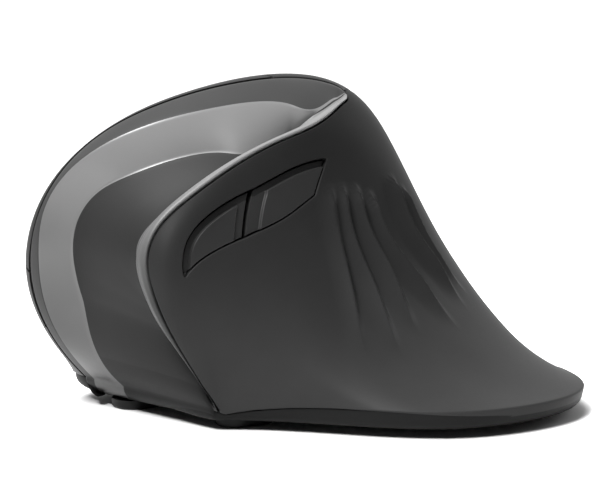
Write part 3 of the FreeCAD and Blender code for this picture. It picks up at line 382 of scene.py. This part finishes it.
def material(name, dark, light, rough, grain, relief, metal=0.0, level=0.5, foot=1.0,
             painted_shading_from=0.004, painted_shading_to=0.052):
    """A surface whose colour, gloss and relief all come from noise in the object's space.

    Below the upper height (metres above the floor) the colour is scaled, down to foot at the lower
    height: painted shade where foot is under one, painted light where it is over one.
    """
    made = bpy.data.materials.new(name)
    made.use_nodes = True
    tree = made.node_tree
    shader = tree.nodes["Principled BSDF"]
    shader.inputs["Metallic"].default_value = metal
    shader.inputs["Specular IOR Level"].default_value = level

    def node(kind, **values):
        new = tree.nodes.new(kind)
        for key, value in values.items():
            new.inputs[key.replace("_", " ")].default_value = value
        return new
    place = node("ShaderNodeTexCoord")
    broad = node("ShaderNodeTexNoise", Scale=BROAD_NOISE, Detail=5)
    tree.links.new(place.outputs["Object"], broad.inputs["Vector"])
    tint = node("ShaderNodeValToRGB")
    for mark, position, colour in zip(tint.color_ramp.elements, (0.3, 0.7), (dark, light)):
        mark.position = position
        mark.color = (*colour, 1)
    tree.links.new(broad.outputs["Fac"], tint.inputs["Fac"])
    # colour scaled by height above the floor, as painted light and shade
    parts = node("ShaderNodeSeparateXYZ")
    tree.links.new(place.outputs["Object"], parts.inputs["Vector"])
    painted_shading = node("ShaderNodeMapRange", From_Min=painted_shading_from, From_Max=painted_shading_to, To_Min=foot)
    tree.links.new(parts.outputs["Z"], painted_shading.inputs["Value"])
    shade = node("ShaderNodeVectorMath")
    shade.operation = "SCALE"
    tree.links.new(tint.outputs["Color"], shade.inputs[0])
    tree.links.new(painted_shading.outputs["Result"], shade.inputs["Scale"])
    tree.links.new(shade.outputs["Vector"], shader.inputs["Base Color"])
    fine = node("ShaderNodeTexNoise", Scale=grain, Detail=3)
    tree.links.new(place.outputs["Object"], fine.inputs["Vector"])
    gloss = node("ShaderNodeMapRange", To_Min=max(rough - 0.05, 0.02), To_Max=rough + 0.05)
    tree.links.new(fine.outputs["Fac"], gloss.inputs["Value"])
    tree.links.new(gloss.outputs["Result"], shader.inputs["Roughness"])
    bump = node("ShaderNodeBump", Strength=relief, Distance=BUMP_DISTANCE)
    tree.links.new(fine.outputs["Fac"], bump.inputs["Height"])
    tree.links.new(bump.outputs["Normal"], shader.inputs["Normal"])
    made_materials[name] = made
    return made


def grey(value, warm=0.0):
    return (value * (1 + warm), value, value * (1 - warm))


# the lower thumb side grows up to 2.6 times brighter below 6 cm: painted light towards the thumb
# rest, leaving the shoulder darker
thumb_coating = material("thumb_coating", grey(0.0085), grey(0.0105), 0.46, 2600, 0.25,
                         level=0.05, foot=2.6, painted_shading_from=0.010, painted_shading_to=0.060)
palm_coating = material("palm_coating", grey(0.0085), grey(0.0105), 0.46, 2600, 0.25,
                        level=0.10)
material("grey_trim", grey(0.150), grey(0.165), 0.34, 3200, 0.12)
# the far rim band: the trim's grey made far darker, and darker still towards the bottom: painted
# shade
trim_rim_painted_shade = material("trim_rim_painted_shade", grey(0.034), grey(0.038), 0.42, 3200, 0.12, level=0.10,
                    foot=0.20, painted_shading_to=0.056)
# the hollow's wall: darker towards the bottom, down to 0.06 of its grey: painted shade
trim_wall = material("trim_wall", grey(0.135), grey(0.145), 0.34, 3200, 0.12, level=0.60,
                     foot=0.06, painted_shading_from=0.006, painted_shading_to=0.060)
# the near strip: darker below 6 cm, down to 0.10 of its grey at 2.8 cm: painted shade
trim_strip = material("trim_strip", grey(0.17), grey(0.18), 0.38, 3200, 0.12, level=0.25,
                      foot=0.10, painted_shading_from=0.028, painted_shading_to=0.060)
# the trim's foot under the hollow: the trim's grey made far darker, and darker still towards the
# bottom: painted shade
chin_painted_shade = material("chin_painted_shade", grey(0.030), grey(0.035), 0.45, 2800, 0.2, level=0.08,
                      foot=0.15)
# the hollow's floor, far darker than the trim's grey; darker still towards the bottom: painted
# shade
dish_floor_dark_and_painted_shade = material("dish_floor_dark_and_painted_shade", grey(0.018), grey(0.022), 0.45, 2800, 0.2,
                        level=0.10, foot=0.45)
black_plastic = material("black_plastic", grey(0.010), grey(0.013), 0.45, 1800, 0.3,
                         level=0.1)
thumb_key = material("thumb_key", grey(0.014), grey(0.017), 0.38, 2600, 0.2, level=0.2)
material("grey_hub", grey(0.16), grey(0.20), 0.4, 1500, 0.2)
material("wheel_rubber", grey(0.012), grey(0.018), 0.6, 1500, 0.4)
material("steel", grey(0.5), grey(0.62), 0.28, 900, 0.15, metal=1.0)
material("inner_plastic", grey(0.04), grey(0.055), 0.5, 900, 0.3)
material("dark_resin", grey(0.012), grey(0.02), 0.3, 900, 0.2)
material("switch_body", grey(0.03), grey(0.045), 0.4, 900, 0.2)
material("plunger", (0.62, 0.58, 0.47), (0.72, 0.68, 0.57), 0.4, 900, 0.2)
material("circuit_board", (0.012, 0.10, 0.045), (0.02, 0.15, 0.07), 0.35, 700, 0.25)
base_plastic = material("base_plastic", grey(0.007), grey(0.009), 0.5, 1800, 0.35,
                        level=0.06)
material("battery_sleeve", grey(0.42), grey(0.55), 0.3, 900, 0.1, metal=0.9)
material("clear_lens", grey(0.70), grey(0.80), 0.08, 600, 0.05)
material("radio_can", grey(0.5), grey(0.62), 0.32, 900, 0.15, metal=1.0)
material("flat_cable", grey(0.62, 0.03), grey(0.72, 0.03), 0.4, 600, 0.2)
material("glide_pad", grey(0.010), grey(0.014), 0.40, 1500, 0.2, level=0.1)

for part in frame["record"]["subparts"]:
    node = frame["nodes"][part["node"]]
    node.data.materials.clear()
    node.data.materials.append(made_materials[part["material_slot"]])


# ------------------------------------------------------------ ripples on the thumb side
# each: places from its upper end to its lower end, then its height in millimetres
RIPPLES = [
    ([(0.445, 0.345), (0.443, 0.288), (0.438, 0.228), (0.453, 0.165), (0.492, 0.100)], 1.49),
    ([(0.420, 0.345), (0.415, 0.283), (0.395, 0.215), (0.393, 0.158), (0.413, 0.098)], 1.82),
    ([(0.393, 0.345), (0.383, 0.290), (0.355, 0.238), (0.338, 0.180), (0.340, 0.133)], 2.08),
    ([(0.365, 0.340), (0.343, 0.280), (0.297, 0.230), (0.258, 0.180), (0.235, 0.140)], 2.08),
    ([(0.310, 0.385), (0.275, 0.302), (0.220, 0.253), (0.175, 0.190)], 1.95),
    ([(0.285, 0.380), (0.230, 0.300), (0.182, 0.263), (0.143, 0.242)], 1.56),
]


def ripple_height(u, v):
    """Height of the pleats: steep on one side of each line, fading out on the other."""
    points = form(u, v).reshape(-1, 3)
    total = np.zeros(len(points))
    for places, height in RIPPLES:
        share = np.linspace(0, 1, 90)
        track = seam(places)(share)
        spine = form(track[:, 0], track[:, 1])
        ahead = np.gradient(spine, axis=0)
        ahead /= np.linalg.norm(ahead, axis=1, keepdims=True)
        side = np.cross(ahead, outward(track[:, 0], track[:, 1]))
        low, high = spine.min(0) - RIPPLE_MARGIN, spine.max(0) + RIPPLE_MARGIN
        close = np.nonzero(((points > low) & (points < high)).all(1))[0]
        gaps = ((points[close, None, :] - spine[None, :, :]) ** 2).sum(-1)
        nearest = gaps.argmin(1)
        distance = ((points[close] - spine[nearest]) * side[nearest]).sum(1)
        beyond = np.abs(((points[close] - spine[nearest]) * ahead[nearest]).sum(1))
        where = share[nearest]
        fade = smooth_step(where, 0.0, 0.15) * (1 - smooth_step(where, 0.55, 1.0))
        fade = fade * np.exp(-(beyond / RIPPLE_END) ** 2)
        before = np.clip(1 - distance / RIPPLE_RISE, 0, 1) ** 2 * (distance > 0)
        after = np.clip(1 + distance / RIPPLE_FALL, 0, 1) ** 1.6 * (distance <= 0)
        total[close] += height * MM * fade * (before + after)
    return total.reshape(np.shape(u))


# ------------------------------------------------------------ thumb keys and their opening
back_low = seam([(0.478, 0.326), (0.535, 0.308), (0.603, 0.303), (0.642, 0.305)])
back_high = seam([(0.450, 0.379), (0.505, 0.377), (0.568, 0.372), (0.600, 0.372)])
forward_low = seam([(0.652, 0.306), (0.740, 0.321), (0.826, 0.339)])
forward_high = seam([(0.611, 0.374), (0.690, 0.385), (0.733, 0.387), (0.775, 0.378),
                     (0.814, 0.352)])


def resampled(places, count):
    """The same line with evenly spaced points."""
    points = form(places[:, 0], places[:, 1])
    run = np.concatenate([[0], np.cumsum(np.linalg.norm(np.diff(points, axis=0), axis=1))])
    goal = np.linspace(0, run[-1], count)
    return np.stack([np.interp(goal, run, places[:, k]) for k in (0, 1)], -1)


def opening_sides(counts):
    """The opening round both keys: its low, front, high and rear sides as places."""
    share = np.linspace(0, 1, 60)
    low = np.concatenate([back_low(share), forward_low(share)])
    high = np.concatenate([back_high(share), forward_high(share)])[::-1]
    front = line(low[-1], high[0])(np.linspace(0, 1, 12))
    rear = line(high[-1], low[0])(np.linspace(0, 1, 12))
    ring = np.concatenate([low, front[1:-1], high, rear[1:-1]])
    closed = resampled(np.concatenate([ring, ring[:1]]), 721)[:-1]
    for _ in range(4):
        closed = (np.roll(closed, 1, 0) + closed * 2 + np.roll(closed, -1, 0)) / 4
    points = form(closed[:, 0], closed[:, 1])
    ahead = np.roll(points, -1, 0) - np.roll(points, 1, 0)
    ahead /= np.linalg.norm(ahead, axis=1, keepdims=True)
    away = np.cross(outward(closed[:, 0], closed[:, 1]), ahead)
    away *= np.sign((away * (points - points.mean(0))).sum())
    closed = shifted(closed, away * KEY_GAP)
    corners = []
    for corner in (low[0], low[-1], high[0], high[-1]):
        corners.append(int(((closed - corner) ** 2 * (1, 4)).sum(1).argmin()))
    closed = np.roll(closed, -corners[0], 0)
    corners = [(c - corners[0]) % len(closed) for c in corners] + [len(closed)]
    closed = np.concatenate([closed, closed[:1]])
    return [resampled(closed[a:b + 1], n)
            for a, b, n in zip(corners, corners[1:], counts)]


def make_thumb_shell():
    """The thumb side: a panel with rolled edges, its pleats, and a well under the keys."""
    top = joined(joined(crest, line(TONGUE_FAR, TONGUE_NEAR), 0.9), near_rim, 0.4)
    shares = np.concatenate([np.linspace(0, 0.36, 170)[:-1], np.linspace(0.36, 0.4, 9)[:-1],
                             np.linspace(0.4, 1, 230)])
    lip = (0, 0, roll(LIP_ROUND, WALL))
    rim = (TRIM_GAP, TRIM_GAP, roll(SHELL_ROUND, WALL))
    places, height = panel_places(line((0, 0), (1, 0)), top, None, None, lip, rim,
                                  shares, 250)
    low = np.array([0.425, 0.285])
    high = np.array([0.850, 0.410])
    wanted = ((places > low) & (places < high)).all(-1)
    i0, i1 = np.nonzero(wanted.any(1))[0][[0, -1]]
    j0, j1 = np.nonzero(wanted.any(0))[0][[0, -1]]
    rows, cols = height.shape
    u, v = places[..., 0], places[..., 1]
    points = [lifted(u, v, height + ripple_height(u, v)).reshape(-1, 3)]
    faces = grid_faces(rows, cols)
    row = faces[:, 0] // cols
    col = faces[:, 0] % cols
    faces = [faces[~((row >= i0) & (row < i1) & (col >= j0) & (col < j1))]]
    index = np.arange(rows * cols).reshape(rows, cols)
    sides = [index[i0:i1 + 1, j0], index[i1, j0:j1 + 1], index[i0:i1 + 1, j1][::-1],
             index[i0, j0:j1 + 1][::-1]]
    outline = opening_sides([len(side) for side in sides])
    frame_ids = np.concatenate([side[:-1] for side in sides])
    edge = np.concatenate([side[:-1] for side in outline])
    outer = places.reshape(-1, 2)[frame_ids]
    reach = np.linalg.norm(form(outer[:, 0], outer[:, 1]) - form(edge[:, 0], edge[:, 1]), axis=1)
    start = OPENING_ROUND / reach
    rings = [frame_ids]
    count = rows * cols
    steps = [(1 - w + start * w, np.zeros(len(edge))) for w in np.linspace(0, 1, 14)[1:]]
    for k in range(1, 6):
        angle = math.pi / 2 * k / 5
        steps.append((start * (1 - math.sin(angle)),
                      np.full(len(edge), -OPENING_ROUND * (1 - math.cos(angle)))))
    steps.append((0 * start, np.full(len(edge), -OPENING_WALL)))
    steps.append((0 * start, np.full(len(edge), -WELL_DEPTH)))
    steps.append((-WELL_FLOOR / reach, np.full(len(edge), -WELL_DEPTH)))
    for share, rise in steps:
        ring = edge + (outer - edge) * share[:, None]
        lift = rise + np.where(share > 0, 1, 0) * ripple_height(ring[:, 0], ring[:, 1])
        points.append(lifted(ring[:, 0], ring[:, 1], lift))
        rings.append(np.arange(len(edge)) + count)
        count += len(edge)
    for first, second in zip(rings, rings[1:]):
        faces.append(np.stack([first, second, np.roll(second, -1), np.roll(first, -1)], -1))
    return add_piece("thumb_side", np.concatenate(points), np.concatenate(faces), "housing",
                     thumb_coating, ["thumb_shell"])


def make_key(name, node, low, high, step_end, step):
    """A thumb key with rounded edges, a sunk ledge along its top coloured black as painted shade,
    and a low step at one end.
    """
    edge = (0, 0, roll(KEY_ROUND, KEY_DEPTH, 5))
    joint = (-KEY_OVERRUN, -KEY_OVERRUN, edge[2])
    rear, front = (edge, joint) if step_end else (joint, edge)
    places, height = panel_places(low, high, rear, front, edge, edge,
                                  np.linspace(0, 1, 170), 80)
    u, v = places[..., 0], places[..., 1]
    points = form(u, v)
    top = form(*high(np.linspace(0, 1, 200)).T)
    gap = np.sqrt(((points[:, :, None, :] - top) ** 2).sum(-1).min(-1))
    drop = KEY_LEDGE_DEPTH * (1 - smooth_step(gap, KEY_LEDGE, KEY_LEDGE + KEY_LEDGE_BLEND))
    end = form(*line(low(step_end), high(step_end))(np.linspace(0, 1, 60)).T)
    reach = np.sqrt(((points[:, :, None, :] - end) ** 2).sum(-1).min(-1))
    fall = 1 - smooth_step(reach, step, step + KEY_STEP_BLEND)
    drop = np.maximum(drop, KEY_STEP_DEPTH * fall)
    rows, cols = height.shape
    piece = add_piece(name, lifted(u, v, height - drop - KEY_SUNK), grid_faces(rows, cols),
                      name, thumb_key, [node])
    # the ledge's faces take the black material: painted shade in the ledge
    piece.data.materials.append(black_plastic)
    ledge_painted_shade = (gap < KEY_LEDGE + 0.1 * MM)[:-1, :-1].ravel()
    piece.data.polygons.foreach_set("material_index", ledge_painted_shade.astype(np.int32))


make_thumb_shell()
make_key("back_key", "back_button", back_low, back_high, 1.0, BACK_STEP)
make_key("forward_key", "forward_button", forward_low, forward_high, 0.0, FORWARD_STEP)


# ------------------------------------------------------------ the rear shell of the palm
def make_palm():
    top = joined(crest, seam(far_rim_upper), 0.75)
    shares = np.concatenate([np.linspace(0, 0.75, 90)[:-1], np.linspace(0.75, 1, 30)])
    places, height = panel_places(top, line((0, 1), (0.49, 1)), None,
                                  (SEAM, SEAM, roll(PALM_REAR_ROUND, WALL)),
                                  (SEAM, SEAM, roll(SHELL_ROUND, WALL)),
                                  (0, 0, roll(LIP_ROUND, WALL)), shares, 90)
    rows, cols = height.shape
    add_piece("palm_side", lifted(places[..., 0], places[..., 1], height),
              grid_faces(rows, cols), "housing", palm_coating,
              ["palm_shell"])


make_palm()


# ------------------------------------------------------------ the front trim and its hollow
def make_trim():
    """A flat ring round a shallow bowl, then the hollow's wall and its floor."""
    s = np.concatenate([np.linspace(0, 0.22, 90)[:-1], np.linspace(0.22, 1, 210)])
    deep = DISH_DEPTH * smooth_step(s, 0.13, 0.21) * (1 - smooth_step(s, 0.90, 0.99))
    bowl = BOWL_DEPTH * smooth_step(s, 0.0, 0.04) * (1 - smooth_step(s, 0.85, 0.97))
    lines = [place(s) for place in (near_rim, strip_edge, floor_near, floor_far, dish_edge,
                                    far_rim)]
    first_speed = speed(near_rim, strip_edge, s, 0 * s, False)
    last_speed = speed(dish_edge, far_rim, s, 1 + 0 * s, False)
    lines.insert(1, lines[0] + (lines[1] - lines[0]) * STRIP_SHARE)
    ring = np.minimum(RING_WIDTH / last_speed, 0.5)[:, None]
    lines.insert(-1, lines[-1] + (lines[-2] - lines[-1]) * ring)
    depths = [0 * s, 0 * s, bowl, bowl + deep, bowl + deep, bowl * (1 - smooth_step(s, 0.25, 0.5)),
              0 * s, 0 * s]
    corners = [np.concatenate([place, -depth[:, None]], -1)
               for place, depth in zip(lines, depths)]
    rounding = [0, 0.25, 0.35, 0.45, 0.07, 0.08, 0.20, 0]
    counts = [6, 8, 8, 24, 22, 14, 6]
    edge = roll(LIP_ROUND, WALL)
    widths = first_speed * STRIP_SHARE, last_speed * ring[:, 0]

    def inset(distance, width):
        return np.minimum((SEAM + distance) / width, EDGE_LIMIT)[:, None]
    low = inset(edge[-1][0], widths[0])
    high = 1 - inset(edge[-1][0], widths[1])
    columns, marks = [], []
    for distance, drop in edge:
        share = inset(distance, widths[0])
        columns.append(corners[0] + (corners[1] - corners[0]) * share + (0, 0, drop))
    for k, count in enumerate(counts):
        a, b = corners[k], corners[k + 1]
        start = rounding[k] if k else low
        stop = 1 - rounding[k + 1] if k < len(counts) - 1 else high
        columns += [a + (b - a) * (start + (stop - start) * x)
                    for x in np.linspace(0, 1, count)[(0 if 0 < k else 1):]]
        if k < len(counts) - 1:
            leave = b + (corners[k + 2] - b) * rounding[k + 1]
            entry = columns[-1]
            marks.append(len(columns) + 3)
            for x in np.linspace(0, 1, 8)[1:-1]:
                columns.append(entry * (1 - x) ** 2 + b * 2 * x * (1 - x) + leave * x * x)
    for distance, drop in reversed(edge[:-1]):
        share = 1 - inset(distance, widths[1])
        columns.append(corners[-2] + (corners[-1] - corners[-2]) * share + (0, 0, drop))
    grid = np.stack(columns, 1)
    points = lifted(grid[..., 0], grid[..., 1], grid[..., 2])
    foot = points[-1]
    ahead = np.gradient(foot, axis=0)
    under = np.stack([-ahead[:, 1], ahead[:, 0], 0 * ahead[:, 0]], -1)
    under /= np.maximum(np.linalg.norm(under, axis=1, keepdims=True), 1e-9)
    under *= np.sign((under * (0, -1, 0)).sum())
    skirt = []
    for k in range(1, 11):
        angle = math.pi / 2 * k / 10
        below = foot + under * CHIN * (1 - math.cos(angle))
        below[:, 2] = foot[:, 2] + (CHIN_FOOT - foot[:, 2]) * math.sin(angle)
        skirt.append(below)
    points = np.concatenate([points, skirt])
    floor_end = int((s < 0.965).sum())
    # all five bands grow darker towards the bottom as painted shade; the rim and the foot also
    # take the trim's grey made far darker, as painted shade
    bands = [("trim_strip", 0, marks[2] + 1, 0, len(s), trim_strip),
             ("dish_floor", marks[2], marks[3] + 1, 0, floor_end + 1, dish_floor_dark_and_painted_shade),
             ("trim_foot", marks[2], marks[3] + 1, floor_end, len(points), chin_painted_shade),
             ("dish_wall", marks[3], marks[4] + 1, 0, len(points), trim_wall),
             ("trim_rim_painted_shade", marks[4], points.shape[1], 0, len(points), trim_rim_painted_shade)]
    for name, first, last, top, bottom, finish in bands:
        part = points[top:bottom, first:last]
        add_piece(name, part, grid_faces(*part.shape[:2]), "housing", finish,
                  ["front_trim"])


make_trim()


# ------------------------------------------------------------ the wall under the lip
def make_base_edge():
    """A smooth wall along the lip's line, and the base plate drawn in behind it."""
    many = np.linspace(0, 1, 260)
    loop = np.concatenate([line((0, 0), (1, 0))(many)[:-1], line((1, 0), (1, 1))(many)[:-1],
                           line((1, 1), (0, 1))(many)[:-1], line((0, 1), (0, 0))(many)[:-1]])
    points = form(loop[:, 0], loop[:, 1])
    run = np.concatenate([[0], np.cumsum(np.linalg.norm(
        np.diff(np.concatenate([points, points[:1]]), axis=0), axis=1))])
    goal = np.linspace(0, run[-1], 901)[:-1]
    ring = np.concatenate([points, points[:1]])
    even = np.stack([np.interp(goal, run, ring[:, k]) for k in range(3)], -1)
    for _ in range(10):
        even = (np.roll(even, 1, 0) + even * 2 + np.roll(even, -1, 0)) / 4
    ahead = np.roll(even, -2, 0) - np.roll(even, 2, 0)
    ahead[:, 2] = 0
    ahead /= np.linalg.norm(ahead, axis=1, keepdims=True)
    inward = np.stack([ahead[:, 1], -ahead[:, 0], 0 * ahead[:, 0]], -1)
    inward *= np.sign((inward * (even.mean(0) - even)).sum())
    corner = smooth_step(even[:, 1], 0.020, 0.036) * smooth_step(even[:, 0], -0.004, 0.012)
    tuck = (1 + CORNER_TUCK * corner)[:, None]
    rings = []
    profile = [(2.6, 0.0), (0.32, 0.0), (0.26, 0.03)]
    profile += [(0.26 + TUCK * (1 - math.cos(a)) ** 1.2, 0.10 + 0.90 * math.sin(a))
                for a in np.linspace(0, math.pi / 2, 14)]
    profile += [(2.9, 1.0)]
    for inset, share in profile:
        level = even[:, 2] - BASE_DROP
        place = even + inward * inset * MM * tuck
        place[:, 2] = level + (BASE_FOOT - level) * share
        rings.append(place)
    grid = np.stack(rings, 1)
    grid = np.concatenate([grid, grid[:1]])
    faces = grid_faces(*grid.shape[:2])[:, ::-1]
    add_piece("base_edge", grid, faces, "housing", base_plastic)
    plate = frame["nodes"]["base_plate"].data
    places = np.zeros(len(plate.vertices) * 3)
    plate.vertices.foreach_get("co", places)
    places = places.reshape(-1, 3)
    nearest = ((places[:, None, :2] - even[None, :, :2]) ** 2).sum(-1).argmin(1)
    inset = ((places - even[nearest]) * inward[nearest]).sum(1)
    share = (even[nearest, 2] - places[:, 2]) / (even[nearest, 2] - BASE_FOOT)
    rise = np.sqrt(1 - np.clip((share - 0.1) / 0.9, 0, 1) ** 2)
    wanted = (0.45 + TUCK * (1 - rise) ** 1.2) * MM
    move = np.clip(wanted * tuck[nearest, 0] - inset, 0, None)
    places += inward[nearest] * move[:, None]
    inner = [list(face.vertices) for face in plate.polygons]
    made = add_piece("base_inner", places, np.array(inner), "housing",
                     base_plastic, ["base_plate"])
    made.data.shade_flat()


make_base_edge()


# ------------------------------------------------------------ floor, light and camera
def make_floor():
    mesh = bpy.data.meshes.new("floor")
    reach = 30.0
    mesh.from_pydata([(-reach, -reach, 0), (reach, -reach, 0), (reach, reach, 0),
                      (-reach, reach, 0)], [], [(0, 1, 2, 3)])
    paint = bpy.data.materials.new("floor_paint")
    paint.use_nodes = True
    shader = paint.node_tree.nodes["Principled BSDF"]
    shader.inputs["Roughness"].default_value = 0.9
    shader.inputs["Specular IOR Level"].default_value = 0.0
    shader.inputs["Base Color"].default_value = (0.93, 0.93, 0.93, 1)
    mesh.materials.append(paint)
    floor = bpy.data.objects.new("floor", mesh)
    bpy.context.scene.collection.objects.link(floor)


make_floor()

azimuth, elevation = math.radians(CAMERA_AZIMUTH), math.radians(CAMERA_ELEVATION)
back = Vector((math.sin(azimuth) * math.cos(elevation), -math.cos(azimuth) * math.cos(elevation),
               math.sin(elevation)))
right = (-back).cross(Vector((0, 0, 1))).normalized()
up = right.cross(-back)
aim = Vector(CAMERA_TARGET) + right * CAMERA_RIGHT + up * CAMERA_UP

lens = bpy.data.cameras.new("camera")
lens.lens = CAMERA_LENS
lens.sensor_width = 36
lens.clip_start = 0.01
lens.clip_end = 100
camera = bpy.data.objects.new("camera", lens)
camera.location = aim + back * CAMERA_DISTANCE
camera.rotation_mode = "QUATERNION"
camera.rotation_quaternion = (-back).to_track_quat("-Z", "Y")
bpy.context.scene.collection.objects.link(camera)
bpy.context.scene.camera = camera


def soft_light(name, place, size, power):
    """An area light that faces the object; place is (right, up, towards the camera)."""
    lamp = bpy.data.lights.new(name, "AREA")
    lamp.shape = "RECTANGLE"
    lamp.size, lamp.size_y = size
    lamp.energy = power
    holder = bpy.data.objects.new(name, lamp)
    level_back = Vector((back.x, back.y, 0)).normalized()
    spot = aim + right * place[0] + Vector((0, 0, 1)) * place[1] + level_back * place[2]
    holder.location = spot
    holder.rotation_mode = "QUATERNION"
    holder.rotation_quaternion = (aim - spot).to_track_quat("-Z", "Y")
    bpy.context.scene.collection.objects.link(holder)


soft_light("left_box", (-0.34, 0.78, 0.56), (0.30, 0.30), 13)
soft_light("top_box", (-0.25, 0.9, 0.2), (0.4, 0.4), 5)
soft_light("right_box", (0.9, 0.45, -0.6), (0.3, 0.6), 1.5)

sun = bpy.data.lights.new("ceiling", "SUN")
sun.energy = 2.6
sun.angle = math.radians(40)
ceiling = bpy.data.objects.new("ceiling", sun)
ceiling.rotation_mode = "QUATERNION"
from_above = Vector((back.x, back.y, 0)) * 0.05 - right * 0.30 + Vector((0, 0, 1))
ceiling.rotation_quaternion = from_above.to_track_quat("Z", "Y")
bpy.context.scene.collection.objects.link(ceiling)

world = bpy.data.worlds.new("room")
world.use_nodes = True
bpy.context.scene.world = world
sky = world.node_tree
ground = sky.nodes["Background"]
ground.inputs["Color"].default_value = (1, 1, 1, 1)
heading = sky.nodes.new("ShaderNodeTexCoord")
facing = sky.nodes.new("ShaderNodeVectorMath")
facing.operation = "DOT_PRODUCT"
facing.inputs[1].default_value = (-back.x, -back.y, 0)
sky.links.new(heading.outputs["Generated"], facing.inputs[0])
ramp = sky.nodes.new("ShaderNodeMapRange")
ramp.interpolation_type = "SMOOTHSTEP"
ramp.inputs["From Min"].default_value = 0.1
ramp.inputs["From Max"].default_value = 0.85
ramp.inputs["To Min"].default_value = 0.06
ramp.inputs["To Max"].default_value = 1.2
sky.links.new(facing.outputs["Value"], ramp.inputs["Value"])
sky.links.new(ramp.outputs["Result"], ground.inputs["Strength"])

bpy.context.scene.view_settings.view_transform = "Standard"
